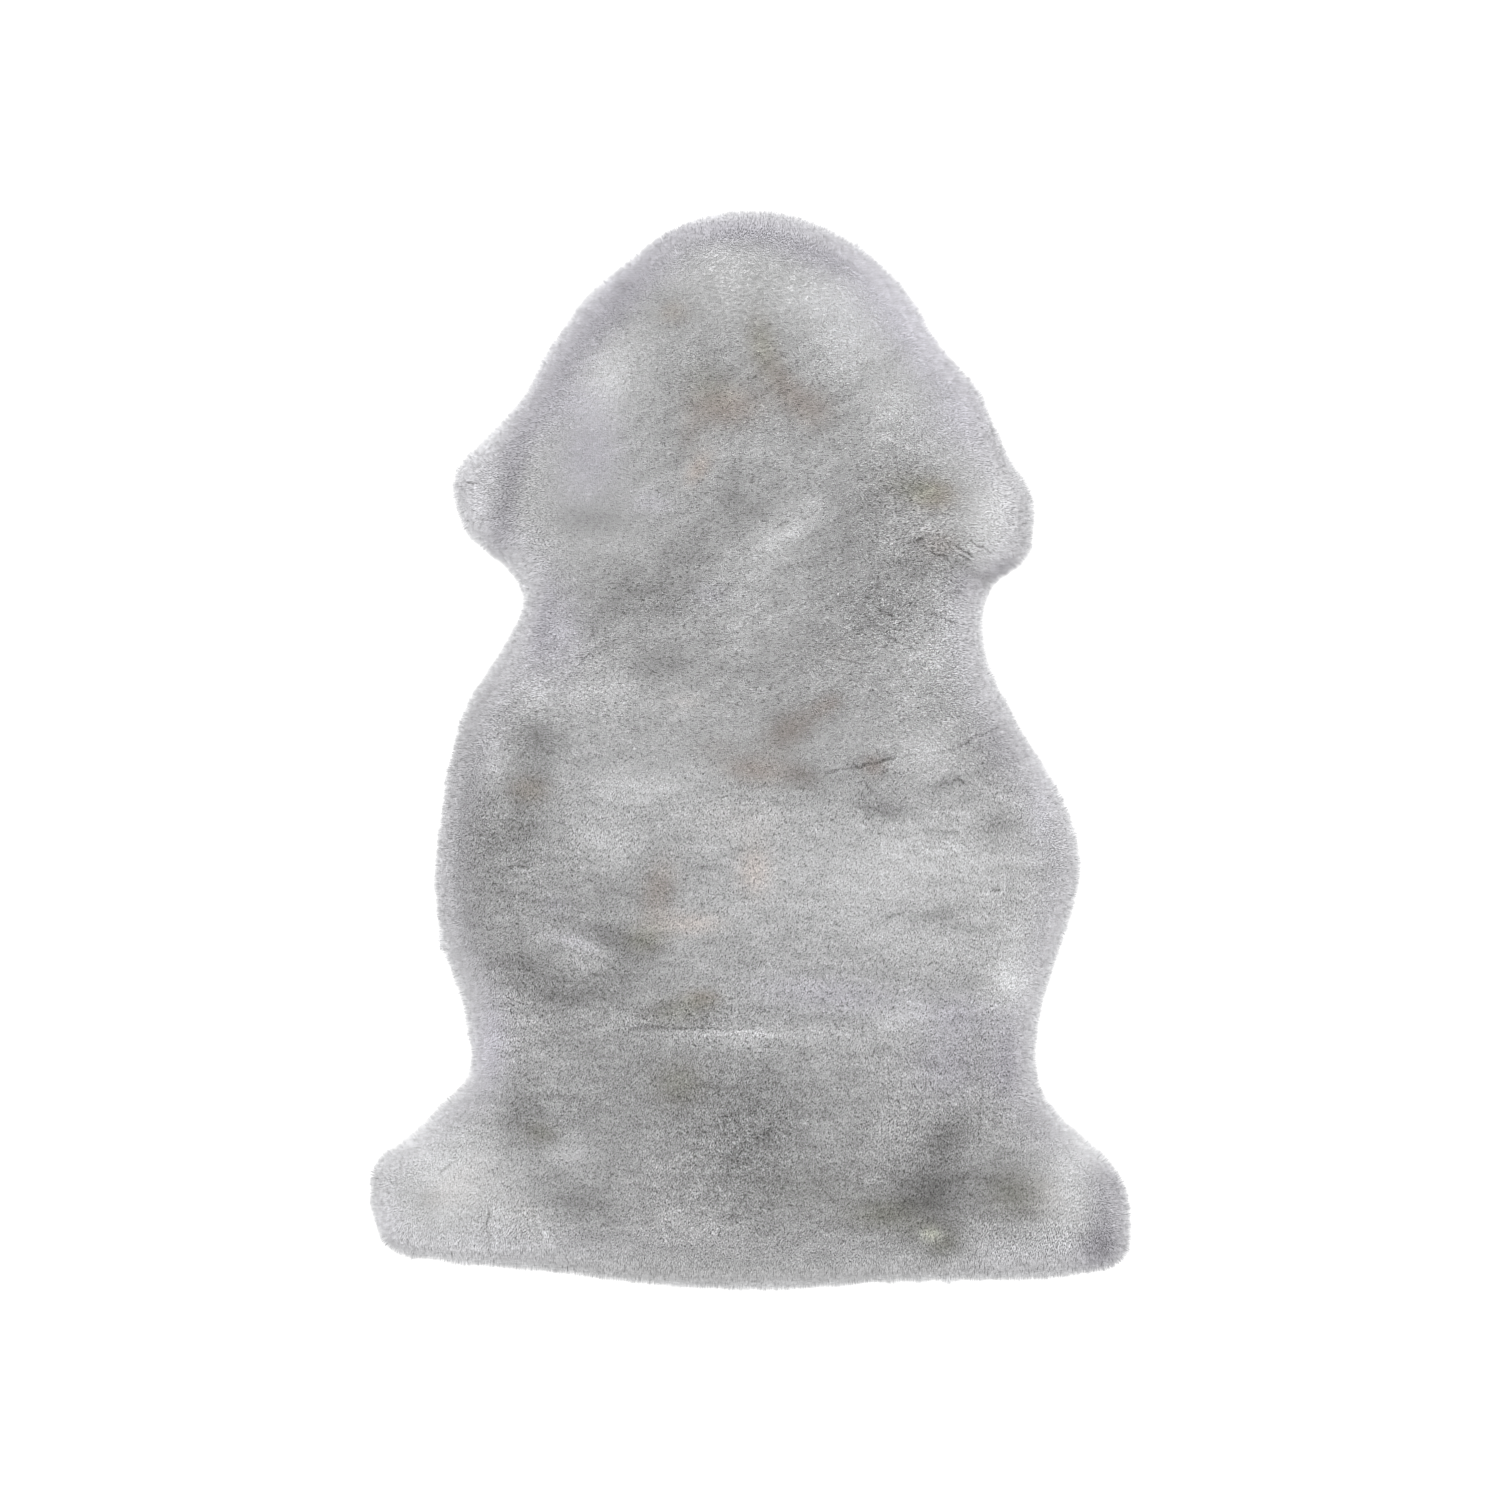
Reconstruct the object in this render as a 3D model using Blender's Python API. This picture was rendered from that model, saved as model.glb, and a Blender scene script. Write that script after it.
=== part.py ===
"""A shorn lambskin rug: one whole pelt lying flat on the floor, wool side up.

Metres, +Z up, +Y towards the neck. The origin is on the floor, under the middle of the pelt.
The pelt is one closed solid. The hide lies underneath. The shorn wool stands on it, with its
hollows, humps and partings, rolls over all round, and ends in blunt locks at the rim.
"""

import math
import random
from collections import namedtuple

import bmesh
import bpy
import numpy as np
from mathutils import Vector, noise
from mathutils.geometry import delaunay_2d_cdt

HIDE_THICKNESS = 0.002
PILE_LENGTH = 0.028  # wool standing straight up from the hide
PILE_ROLL = 0.032  # width over which the wool leans outward at the rim
PILE_ROUNDNESS = 2.2  # 2 rolls over in a quarter circle, more is squarer

LOCK_COUNT = 240
LOCK_LENGTH = 0.0055
LOCK_UNEVENNESS = 0.5  # share of one lock's width by which its neighbours' joint moves
LOCK_SHORTFALL = 0.70  # where ragged is 1, the shortest lock lacks this share of its length
LOCK_EXCESS = 0.55  # and the longest has this much more
LOCK_SWAY = 0.0012  # how far a tip leans along the rim
LOCK_DROOP_SPREAD = 0.8  # locks droop between 0.2 and 1.8 times the usual amount
SEED = 7

LUMP_RISE = 0.0014  # the shorn surface's own slight unevenness
LUMP_WIDTH = 0.045
CORNER_EASING = 0.030  # inner rows follow the rim's corners averaged over this length
POINT_SPACING = 0.020  # between points of the wool's upper face
POINT_ROWS = 30  # rows of points on each side of the middle
POINT_COLUMNS = 24  # columns of points on each side of the middle
POINT_SCATTER = 0.0025
POINT_CLEARANCE = 0.55  # share of the spacing kept free round the brow and the partings
PARTING_STEP = 0.012  # between points along a parting
PARTING_BANK = 1.6  # widths from a parting to the points on its banks
SHARP_ANGLE = 50  # degrees between faces from which an edge is drawn sharp

WOOL_COLOUR = (0.45, 0.45, 0.46, 1.0)
WOOL_ROUGHNESS = 0.95

# The rim's section, from the floor up. inset is how far each row lies inside the lock tips.
RimRow = namedtuple("RimRow", "name inset height")
HIDE_EDGE = 0.0145
RIM_ROWS = [
    RimRow("hide_floor", HIDE_EDGE, 0.0),
    RimRow("hide_top", HIDE_EDGE - 0.0005, HIDE_THICKNESS),
    RimRow("lock_root_low", LOCK_LENGTH, 0.0055),
    RimRow("lock_root_high", LOCK_LENGTH, 0.0150),
]
LOCK_BAND = 2  # the locks grow from the band between the last two rows
UPPER_INSETS = [0.0100, 0.0185]  # rows above the locks, on the wool's rolled-over upper face

# A lock's sections. reach is a share of its length, and width and height are shares of its root's.
LockSection = namedtuple("LockSection", "name reach width height droop")
LOCK_SECTIONS = [
    LockSection("middle", 0.60, 0.93, 0.82, 0.0004),
    LockSection("tip", 1.00, 0.58, 0.40, 0.0016),
]

# The pelt's outline, once round from the neck down its own left side. ragged is how uneven the
# locks' lengths are there: 0 is sheared even, 1 is as the wool grew.
Landmark = namedtuple("Landmark", "name x y ragged")
OUTLINE = [
    Landmark("crown", 0.006, 0.474, 0.5),
    Landmark("crown_left", -0.030, 0.470, 0.3),
    Landmark("brow_left", -0.073, 0.456, 0.2),
    Landmark("forehead_left", -0.109, 0.428, 0.3),
    Landmark("cheek_left", -0.143, 0.400, 0.4),
    Landmark("temple_left", -0.165, 0.371, 0.3),
    Landmark("neck_left", -0.185, 0.341, 0.3),
    Landmark("neck_root_left", -0.199, 0.312, 0.5),
    Landmark("fold_left", -0.217, 0.291, 0.4),
    Landmark("foreleg_back_left", -0.234, 0.273, 0.3),
    Landmark("foreleg_top_left", -0.252, 0.255, 0.3),
    Landmark("foreleg_tip_left", -0.263, 0.235, 0.6),
    Landmark("foreleg_side_left", -0.259, 0.207, 0.6),
    Landmark("foreleg_front_left", -0.249, 0.184, 0.4),
    Landmark("foreleg_root_left", -0.219, 0.161, 0.4),
    Landmark("armpit_left", -0.200, 0.133, 0.3),
    Landmark("waist_left", -0.214, 0.098, 0.4),
    Landmark("ribs_left", -0.230, 0.072, 0.6),
    Landmark("flank_high_left", -0.251, 0.036, 0.9),
    Landmark("flank_left", -0.267, -0.012, 1.0),
    Landmark("belly_top_left", -0.274, -0.059, 1.0),
    Landmark("belly_left", -0.280, -0.116, 1.0),
    Landmark("belly_low_left", -0.273, -0.169, 1.0),
    Landmark("loin_left", -0.257, -0.211, 0.9),
    Landmark("hip_high_left", -0.249, -0.253, 0.8),
    Landmark("hip_left", -0.250, -0.289, 0.6),
    Landmark("thigh_left", -0.276, -0.314, 0.9),
    Landmark("shank_left", -0.301, -0.341, 0.9),
    Landmark("hind_leg_tip_left", -0.333, -0.363, 0.5),
    Landmark("hind_leg_left", -0.334, -0.406, 0.2),
    Landmark("hind_leg_heel_left", -0.318, -0.441, 0.3),
    Landmark("rump_corner_left", -0.273, -0.451, 0.4),
    Landmark("rump_far_left", -0.177, -0.460, 0.2),
    Landmark("rump_left", -0.088, -0.471, 0.2),
    Landmark("rump", 0.013, -0.476, 0.2),
    Landmark("rump_right", 0.132, -0.469, 0.7),
    Landmark("rump_far_right", 0.237, -0.467, 0.7),
    Landmark("rump_corner_right", 0.295, -0.462, 0.4),
    Landmark("hind_leg_heel_right", 0.329, -0.451, 0.2),
    Landmark("hind_leg_right", 0.335, -0.424, 0.2),
    Landmark("hind_leg_tip_right", 0.328, -0.378, 0.2),
    Landmark("shank_right", 0.300, -0.346, 0.3),
    Landmark("thigh_right", 0.270, -0.319, 0.4),
    Landmark("hip_right", 0.255, -0.295, 0.3),
    Landmark("hip_high_right", 0.251, -0.264, 0.2),
    Landmark("loin_right", 0.258, -0.220, 0.1),
    Landmark("belly_low_right", 0.276, -0.165, 0.1),
    Landmark("belly_right", 0.291, -0.106, 0.1),
    Landmark("belly_top_right", 0.278, -0.049, 0.1),
    Landmark("flank_right", 0.250, -0.001, 0.5),
    Landmark("flank_high_right", 0.223, 0.046, 0.4),
    Landmark("ribs_right", 0.206, 0.088, 0.3),
    Landmark("waist_right", 0.206, 0.125, 0.3),
    Landmark("armpit_right", 0.214, 0.144, 0.2),
    Landmark("foreleg_front_right", 0.244, 0.166, 0.4),
    Landmark("foreleg_side_right", 0.250, 0.199, 0.5),
    Landmark("foreleg_tip_right", 0.246, 0.227, 0.6),
    Landmark("foreleg_top_right", 0.229, 0.255, 0.6),
    Landmark("foreleg_back_right", 0.214, 0.288, 0.6),
    Landmark("neck_root_right", 0.201, 0.317, 0.5),
    Landmark("neck_right", 0.169, 0.352, 0.3),
    Landmark("cheek_right", 0.140, 0.399, 0.2),
    Landmark("forehead_right", 0.109, 0.432, 0.3),
    Landmark("brow_right", 0.073, 0.455, 0.3),
    Landmark("crown_right", 0.038, 0.469, 0.4),
]

# Hollows (rise below 0) and humps in the wool. length and width are to where each has faded to
# a third of its rise, and turn is from +X, in degrees.
Swell = namedtuple("Swell", "name x y length width turn rise")
SWELLS = [
    Swell("crown_ridge", 0.022, 0.414, 0.055, 0.018, 0, 0.0024),
    Swell("neck_hollow", 0.026, 0.339, 0.045, 0.018, -57, -0.0030),
    Swell("nape_hollow", -0.031, 0.314, 0.048, 0.038, 0, -0.0022),
    Swell("neck_hump_left", -0.133, 0.317, 0.038, 0.038, 0, 0.0022),
    Swell("neck_hump_right", 0.114, 0.317, 0.032, 0.030, 0, 0.0019),
    Swell("foreleg_fold_left", -0.214, 0.247, 0.064, 0.018, 82, -0.0043),
    Swell("foreleg_hump_left", -0.240, 0.228, 0.030, 0.018, 85, 0.0024),
    Swell("shoulder_hollow_left", -0.115, 0.141, 0.058, 0.036, 0, -0.0024),
    Swell("shoulder_hollow_right", 0.149, 0.221, 0.046, 0.038, 30, -0.0030),
    Swell("foreleg_hump_right", 0.229, 0.212, 0.028, 0.022, 60, 0.0027),
    Swell("rib_hollow_right", 0.096, 0.133, 0.066, 0.044, 15, -0.0024),
    Swell("back_hump", 0.017, 0.150, 0.056, 0.030, 38, 0.0022),
    Swell("flank_hump_left", -0.182, 0.048, 0.040, 0.028, 60, 0.0019),
    Swell("flank_hollow_left", -0.192, -0.010, 0.042, 0.026, 85, -0.0035),
    Swell("back_hollow", 0.035, 0.003, 0.066, 0.026, 42, -0.0027),
    Swell("back_hump_left", -0.088, -0.044, 0.084, 0.032, 5, 0.0024),
    Swell("belly_hollow_left", -0.222, -0.093, 0.075, 0.030, 88, -0.0027),
    Swell("belly_hump_right", 0.150, -0.115, 0.085, 0.050, 10, 0.0024),
    Swell("loin_hollow_left", -0.145, -0.168, 0.060, 0.036, -25, -0.0035),
    Swell("loin_hump_right", 0.220, -0.193, 0.026, 0.022, 0, 0.0030),
    Swell("loin_ridge", 0.022, -0.246, 0.120, 0.013, 0, 0.0019),
    Swell("rump_hollow", 0.010, -0.325, 0.110, 0.058, -10, -0.0024),
    Swell("thigh_hollow_left", -0.194, -0.317, 0.038, 0.030, 0, -0.0030),
    Swell("hind_leg_hump_left", -0.282, -0.385, 0.044, 0.036, 35, 0.0024),
    Swell("hind_leg_ridge_left", -0.196, -0.410, 0.032, 0.014, 60, 0.0030),
    Swell("thigh_hollow_right", 0.196, -0.368, 0.064, 0.044, 50, -0.0038),
    Swell("rump_hump_right", 0.158, -0.424, 0.024, 0.014, 0, 0.0032),
    Swell("hind_leg_hump_right", 0.286, -0.375, 0.038, 0.038, 0, 0.0022),
]

# Lines where the wool parts or the hide creases, from one end to the other.
Parting = namedtuple("Parting", "name x_from y_from x_to y_to width rise")
PARTINGS = [
    Parting("back_parting", 0.074, -0.020, 0.134, -0.006, 0.0050, -0.0030),
    Parting("back_parting_end", 0.134, -0.006, 0.200, 0.012, 0.0045, -0.0016),
    Parting("foreleg_crease_high", 0.200, 0.290, 0.194, 0.250, 0.0050, -0.0026),
    Parting("foreleg_crease_mid", 0.233, 0.230, 0.206, 0.212, 0.0050, -0.0026),
    Parting("foreleg_crease_low", 0.228, 0.163, 0.186, 0.147, 0.0060, -0.0024),
    Parting("hind_leg_crease_left", -0.226, -0.395, -0.213, -0.432, 0.0060, -0.0022),
]


def clear_scene():
    for thing in list(bpy.data.objects):
        bpy.data.objects.remove(thing, do_unlink=True)


def curve_between(before, start, end, after, share):
    """A point of the smooth curve through four points, share of the way from start to end."""
    knots = [0.0]
    for first, second in ((before, start), (start, end), (end, after)):
        knots.append(knots[-1] + math.sqrt(np.linalg.norm(second[:2] - first[:2])))
    at = knots[1] + share * (knots[2] - knots[1])

    def blend(low, high, first, second):
        part = (at - knots[low]) / (knots[high] - knots[low])
        return first + part * (second - first)

    outer = [blend(0, 1, before, start), blend(1, 2, start, end), blend(2, 3, end, after)]
    inner = [blend(0, 2, outer[0], outer[1]), blend(1, 3, outer[1], outer[2])]
    return blend(1, 2, inner[0], inner[1])


def smooth_outline(steps=16):
    """The closed curve through the landmarks: rows of x, y and raggedness."""
    marks = np.array([(mark.x, mark.y, mark.ragged) for mark in OUTLINE])
    count = len(marks)
    after, beyond = np.roll(marks, -1, axis=0), np.roll(marks, -2, axis=0)
    quads = [(marks[i - 1], marks[i], after[i], beyond[i]) for i in range(count)]
    return np.array([curve_between(*quad, step / steps) for quad in quads for step in range(steps)])


def spread_along(curve, places):
    """The closed curve's values at places, which are shares of its length."""
    closed = np.vstack([curve, curve[:1]])
    lengths = np.linalg.norm(np.diff(closed[:, :2], axis=0), axis=1)
    reached = np.concatenate([[0.0], np.cumsum(lengths)]) / lengths.sum()
    return np.column_stack([np.interp(places, reached, closed[:, k]) for k in range(closed.shape[1])])


def average_round(rows, width):
    """Each row averaged with those up to width places before and after it, round the loop."""
    return sum(np.roll(rows, shift, axis=0) for shift in range(-width, width + 1)) / (2 * width + 1)


def outward_directions(rim, perimeter):
    """Unit vectors that point out of the pelt, eased round its corners."""
    along = np.roll(rim, -1, axis=0) - np.roll(rim, 1, axis=0)
    outward = np.column_stack([along[:, 1], -along[:, 0]])
    outward /= np.linalg.norm(outward, axis=1)[:, None]
    reach = round(CORNER_EASING * len(rim) / perimeter)
    outward = average_round(average_round(outward, reach), reach)
    return outward / np.linalg.norm(outward, axis=1)[:, None]


def swell_rise(x, y):
    total = 0.0
    for swell in SWELLS:
        turn = math.radians(swell.turn)
        dx, dy = x - swell.x, y - swell.y
        along = (dx * math.cos(turn) + dy * math.sin(turn)) / swell.length
        across = (dy * math.cos(turn) - dx * math.sin(turn)) / swell.width
        total += swell.rise * math.exp(-along * along - across * across)
    return total


def parting_rise(x, y):
    deepest = 0.0
    for parting in PARTINGS:
        start = np.array([parting.x_from, parting.y_from])
        line = np.array([parting.x_to, parting.y_to]) - start
        offset = np.array([x, y]) - start
        share = min(max(offset @ line / (line @ line), 0.0), 1.0)
        away = np.linalg.norm(offset - share * line) / parting.width
        deepest = min(deepest, parting.rise * math.exp(-away * away))
    return deepest


def wool_height(x, y, inset):
    """Height of the shorn surface at x, y, a distance inset inside the lock tips."""
    share = min(inset / PILE_ROLL, 1.0)
    rolled = (1 - (1 - share) ** PILE_ROUNDNESS) ** (1 / PILE_ROUNDNESS)
    lumps = LUMP_RISE * noise.noise(Vector((x, y, 0.0)) / LUMP_WIDTH)
    relief = swell_rise(x, y) + parting_rise(x, y) + lumps
    return HIDE_THICKNESS + rolled * (PILE_LENGTH + relief)


def rim_loops(rim, outward):
    """The rows of points round the pelt, from the hide's edge on the floor up to the wool's brow."""
    loops = []
    for row in RIM_ROWS:
        flat = rim - outward * row.inset
        loops.append(np.column_stack([flat, np.full(len(rim), row.height)]))
    for inset in UPPER_INSETS:
        flat = rim - outward * inset
        heights = [wool_height(x, y, inset) for x, y in flat]
        loops.append(np.column_stack([flat, heights]))
    return loops


def parting_points():
    """Points along each parting and on both its banks, so that the wool's face can dip there."""
    points = []
    for parting in PARTINGS:
        start = np.array([parting.x_from, parting.y_from])
        line = np.array([parting.x_to, parting.y_to]) - start
        length = np.linalg.norm(line)
        bank = np.array([-line[1], line[0]]) / length * parting.width * PARTING_BANK
        for share in np.linspace(0.0, 1.0, max(2, round(length / PARTING_STEP))):
            middle = start + share * line
            points += [middle, middle + bank, middle - bank]
    return points


def inside(point, loop):
    """Whether a flat point is inside a closed loop of flat points."""
    nexts = np.roll(loop, -1, axis=0)
    spans = (loop[:, 1] > point[1]) != (nexts[:, 1] > point[1])
    rises = np.where(spans, nexts[:, 1] - loop[:, 1], 1.0)
    crossings = loop[:, 0] + (point[1] - loop[:, 1]) / rises * (nexts[:, 0] - loop[:, 0])
    return np.count_nonzero(spans & (point[0] < crossings)) % 2 == 1


def face_points(brow, rim):
    """Points of the wool's upper face inside its brow, each with its height."""
    kept = [point for point in parting_points() if inside(point, brow)]
    draw = random.Random(SEED)
    row_step = POINT_SPACING * math.sqrt(0.75)
    clearance = POINT_CLEARANCE * POINT_SPACING
    for row in range(-POINT_ROWS, POINT_ROWS + 1):
        for column in range(-POINT_COLUMNS, POINT_COLUMNS + 1):
            x = (column + row % 2 / 2) * POINT_SPACING + draw.uniform(-POINT_SCATTER, POINT_SCATTER)
            y = row * row_step + draw.uniform(-POINT_SCATTER, POINT_SCATTER)
            clear_of_brow = np.linalg.norm(brow - (x, y), axis=1).min() > clearance
            clear_of_rest = all(math.dist((x, y), other) > clearance for other in kept)
            if clear_of_brow and clear_of_rest and inside((x, y), brow):
                kept.append(np.array([x, y]))
    heights = [wool_height(x, y, np.linalg.norm(rim - (x, y), axis=1).min()) for x, y in kept]
    return np.column_stack([np.array(kept), heights])


def add_loop(mesh, points):
    return [mesh.verts.new(point) for point in points]


def add_band(mesh, lower, upper):
    """Quads between two loops. Returns them in order round the pelt."""
    count = len(lower)
    return [
        mesh.faces.new((lower[i], lower[(i + 1) % count], upper[(i + 1) % count], upper[i]))
        for i in range(count)
    ]


def add_upper_face(mesh, brow_verts, brow, points):
    """Triangles over the wool's upper face, between its brow and the points inside."""
    flat = [Vector(point[:2]) for point in np.vstack([brow, points])]
    verts = brow_verts + add_loop(mesh, points)
    _, _, triangles, sources, _, _ = delaunay_2d_cdt(flat, [], [list(range(len(brow)))], 1, 1e-6)
    for triangle in triangles:
        mesh.faces.new([verts[sources[corner][0]] for corner in triangle])


def grow_lock(mesh, root, outward, ragged, draw):
    """Draws one quad of the rim out into a blunt, drooping lock."""
    length = LOCK_LENGTH * (1 + ragged * draw.uniform(-LOCK_SHORTFALL, LOCK_EXCESS))
    sway = LOCK_SWAY * draw.uniform(-1.0, 1.0)
    sag = 1 + draw.uniform(-LOCK_DROOP_SPREAD, LOCK_DROOP_SPREAD)
    middle = root.calc_center_median()
    corners = [vert.co - middle for vert in root.verts]
    end = root
    for section in LOCK_SECTIONS:
        end = bmesh.ops.extrude_discrete_faces(mesh, faces=[end])["faces"][0]
        out, aside = length * section.reach, sway * section.reach
        place = middle + Vector((
            outward[0] * out - outward[1] * aside,
            outward[1] * out + outward[0] * aside,
            -sag * section.droop,
        ))
        for vert, corner in zip(end.verts, corners):
            vert.co = place + corner * Vector((section.width, section.width, section.height))


def centre_on_floor(mesh):
    """Moves the pelt so that the middle of its length and width is over the origin."""
    low = Vector(min(vert.co[axis] for vert in mesh.verts) for axis in range(3))
    high = Vector(max(vert.co[axis] for vert in mesh.verts) for axis in range(3))
    middle = (low + high) / 2
    bmesh.ops.translate(mesh, verts=mesh.verts, vec=(-middle.x, -middle.y, -low.z))


def pelt_mesh():
    draw = random.Random(SEED)
    curve = smooth_outline()
    perimeter = np.linalg.norm(np.roll(curve[:, :2], -1, axis=0) - curve[:, :2], axis=1).sum()
    shifts = [draw.uniform(-0.5, 0.5) * LOCK_UNEVENNESS for _ in range(LOCK_COUNT)]
    places = (np.arange(LOCK_COUNT) + 0.5 + shifts) / LOCK_COUNT
    stations = spread_along(curve, places)
    rim, ragged = stations[:, :2], stations[:, 2]
    outward = outward_directions(rim, perimeter)

    mesh = bmesh.new()
    points = rim_loops(rim, outward)
    loops = [add_loop(mesh, row) for row in points]
    bands = [add_band(mesh, lower, upper) for lower, upper in zip(loops, loops[1:])]
    mesh.faces.new(loops[0][::-1])
    brow = points[-1]
    add_upper_face(mesh, loops[-1], brow, face_points(brow[:, :2], rim))
    for i, root in enumerate(bands[LOCK_BAND]):
        direction = outward[i] + outward[(i + 1) % LOCK_COUNT]
        direction /= np.linalg.norm(direction)
        grow_lock(mesh, root, direction, ragged[i], draw)
    centre_on_floor(mesh)
    return mesh


def wool_material():
    material = bpy.data.materials.new("grey_wool")
    material.use_nodes = True
    surface = material.node_tree.nodes["Principled BSDF"]
    surface.inputs["Base Color"].default_value = WOOL_COLOUR
    surface.inputs["Roughness"].default_value = WOOL_ROUGHNESS
    surface.inputs["Metallic"].default_value = 0.0
    return material


def build_lambskin():
    mesh = pelt_mesh()
    data = bpy.data.meshes.new("lambskin")
    mesh.to_mesh(data)
    mesh.free()
    data.materials.append(wool_material())
    data.shade_smooth()
    data.set_sharp_from_angle(angle=math.radians(SHARP_ANGLE))
    pelt = bpy.data.objects.new("lambskin", data)
    bpy.context.scene.collection.objects.link(pelt)


clear_scene()
build_lambskin()
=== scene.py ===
"""A shorn lambskin rug: the tanned hide, the wool's dense body, and its nap, combed and sheared.

Metres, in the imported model's frame: the floor is z = 0 and the neck points to +Y.
"""

import math
from collections import namedtuple

import bmesh
import bpy
import numpy as np
from mathutils.kdtree import KDTree
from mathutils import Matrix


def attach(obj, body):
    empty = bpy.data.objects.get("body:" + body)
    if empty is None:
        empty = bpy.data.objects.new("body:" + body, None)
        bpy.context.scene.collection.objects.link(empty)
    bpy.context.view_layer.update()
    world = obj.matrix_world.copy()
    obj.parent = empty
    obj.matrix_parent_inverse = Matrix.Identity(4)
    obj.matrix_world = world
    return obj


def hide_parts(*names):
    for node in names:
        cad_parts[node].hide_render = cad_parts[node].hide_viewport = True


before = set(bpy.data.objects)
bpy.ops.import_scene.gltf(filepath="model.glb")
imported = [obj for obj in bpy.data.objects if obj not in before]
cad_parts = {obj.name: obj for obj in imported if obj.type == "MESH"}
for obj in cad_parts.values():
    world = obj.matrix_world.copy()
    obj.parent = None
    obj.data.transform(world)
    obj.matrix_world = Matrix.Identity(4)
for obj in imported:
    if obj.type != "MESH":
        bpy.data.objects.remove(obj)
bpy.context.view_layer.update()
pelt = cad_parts["lambskin"]

# ---------------------------------------------------------------------------------------------
# The hide. One tanned lambskin, 2 mm thick, suede side down, cut round by hand with a knife. It
# lies flat on the floor, and the wool grows from its upper face right out to the cut edge.

HIDE_THICKNESS = 0.002
HIDE_INSET = 0.0145  # from the tips of the wool at the rim in to the cut edge
HIDE_EDGE_ROUNDING = 0.0004
CORNER_ANGLE = 1.0  # radians: a sharper corner than this is rounded
FLOOR_CONTACT = 1e-4  # what lies lower than this rests on the floor
SAME_PLACE = 1e-5  # corners nearer to each other than this are one
SUEDE_PALE = (0.70, 0.66, 0.59, 1.0)
SUEDE_DARK = (0.50, 0.46, 0.40, 1.0)


class Wire:
    """One output of a node. Arithmetic on it adds the Math nodes that work it out."""

    def __init__(self, graph, socket):
        self.graph, self.socket = graph, socket

    def sibling(self, name):
        """Another output of the same node."""
        return Wire(self.graph, self.socket.node.outputs[name])

    def math(self, operation, *terms):
        return self.graph.node("ShaderNodeMath", dict(enumerate(terms)), operation=operation)

    def __add__(self, other):
        return self.math("ADD", self, other)

    def __sub__(self, other):
        return self.math("SUBTRACT", self, other)

    def __rsub__(self, other):
        return self.math("SUBTRACT", other, self)

    def __mul__(self, other):
        return self.math("MULTIPLY", self, other)

    __radd__ = __add__
    __rmul__ = __mul__


class Graph:
    """A node tree as it is put together, for a material or for Geometry Nodes."""

    def __init__(self, tree):
        self.tree = tree
        tree.nodes.clear()

    def node(self, kind, sockets=None, output=0, stops=None, **settings):
        """Adds a node, with its settings first and then its sockets' values or links."""
        made = self.tree.nodes.new(kind)
        for name, value in settings.items():
            setattr(made, name, value)
        for number, (position, colour) in enumerate(stops or []):
            ramp = made.color_ramp.elements
            stop = ramp[number] if number < 2 else ramp.new(position)
            stop.position = position
            stop.color = colour
        for key, value in (sockets or {}).items():
            if isinstance(value, Wire):
                self.tree.links.new(value.socket, made.inputs[key])
            else:
                made.inputs[key].default_value = value
        return Wire(self, made.outputs[output]) if made.outputs else None

    def noise(self, places, size, detail=2.0, roughness=0.5):
        """Smooth random values from 0 to 1, in patches about size across."""
        return self.node(
            "ShaderNodeTexNoise",
            {"Vector": places, "Scale": 1 / size, "Detail": detail, "Roughness": roughness},
        )

    def mix(self, share, first, second, blend="MIX"):
        """The first colour, turning to the second as share goes from 0 to 1."""
        return self.node(
            "ShaderNodeMix",
            {0: share, 6: first, 7: second},
            output=2,
            data_type="RGBA",
            blend_type=blend,
        )

    def between(self, value, low, high):
        """0 where value is low or less, 1 where it is high or more, and eased between them."""
        return self.node(
            "ShaderNodeMapRange",
            {"Value": value, "From Min": low, "From Max": high},
            interpolation_type="SMOOTHSTEP",
        )


def new_material(name):
    material = bpy.data.materials.new(name)
    material.use_nodes = True
    return material, Graph(material.node_tree)


def finish_surface(graph, colour, roughness, **others):
    """The Principled surface and the material's output. Others are further sockets, by name."""
    sockets = {"Base Color": colour, "Roughness": roughness, "Metallic": 0.0}
    sockets.update({name.replace("_", " "): value for name, value in others.items()})
    surface = graph.node("ShaderNodeBsdfPrincipled", sockets)
    graph.node("ShaderNodeOutputMaterial", {"Surface": surface})


def suede_material():
    """The flesh side: buffed to a fine nap, a little uneven in colour, with shallow wrinkles."""
    material, graph = new_material("suede")
    places = graph.node("ShaderNodeTexCoord").sibling("Object")
    clouds = graph.noise(places, 0.060, detail=4.0)
    fibres = graph.noise(places, 0.0012, detail=3.0, roughness=0.7)
    wrinkles = graph.noise(places, 0.014, detail=3.0, roughness=0.6)
    shade = graph.between(clouds * 0.7 + fibres * 0.3, 0.35, 0.62)
    colour = graph.mix(shade, SUEDE_DARK, SUEDE_PALE)
    normal = graph.node(
        "ShaderNodeBump",
        {"Height": fibres * 0.5 + wrinkles * 2.0, "Strength": 0.5, "Distance": 0.0006},
    )
    roughness = graph.between(fibres, 0.2, 0.8) * 0.12 + 0.84
    finish_surface(graph, colour, roughness, Normal=normal, Sheen_Weight=0.25, Sheen_Roughness=0.5)
    return material


def merged_copy(node):
    """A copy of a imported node's mesh, with its loose triangles joined."""
    mesh = bmesh.new()
    mesh.from_mesh(node.data)
    bmesh.ops.remove_doubles(mesh, verts=mesh.verts, dist=SAME_PLACE)
    return mesh


def highest(item):
    """The height of the highest corner of a face or an edge."""
    return max(vert.co.z for vert in item.verts)


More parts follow.
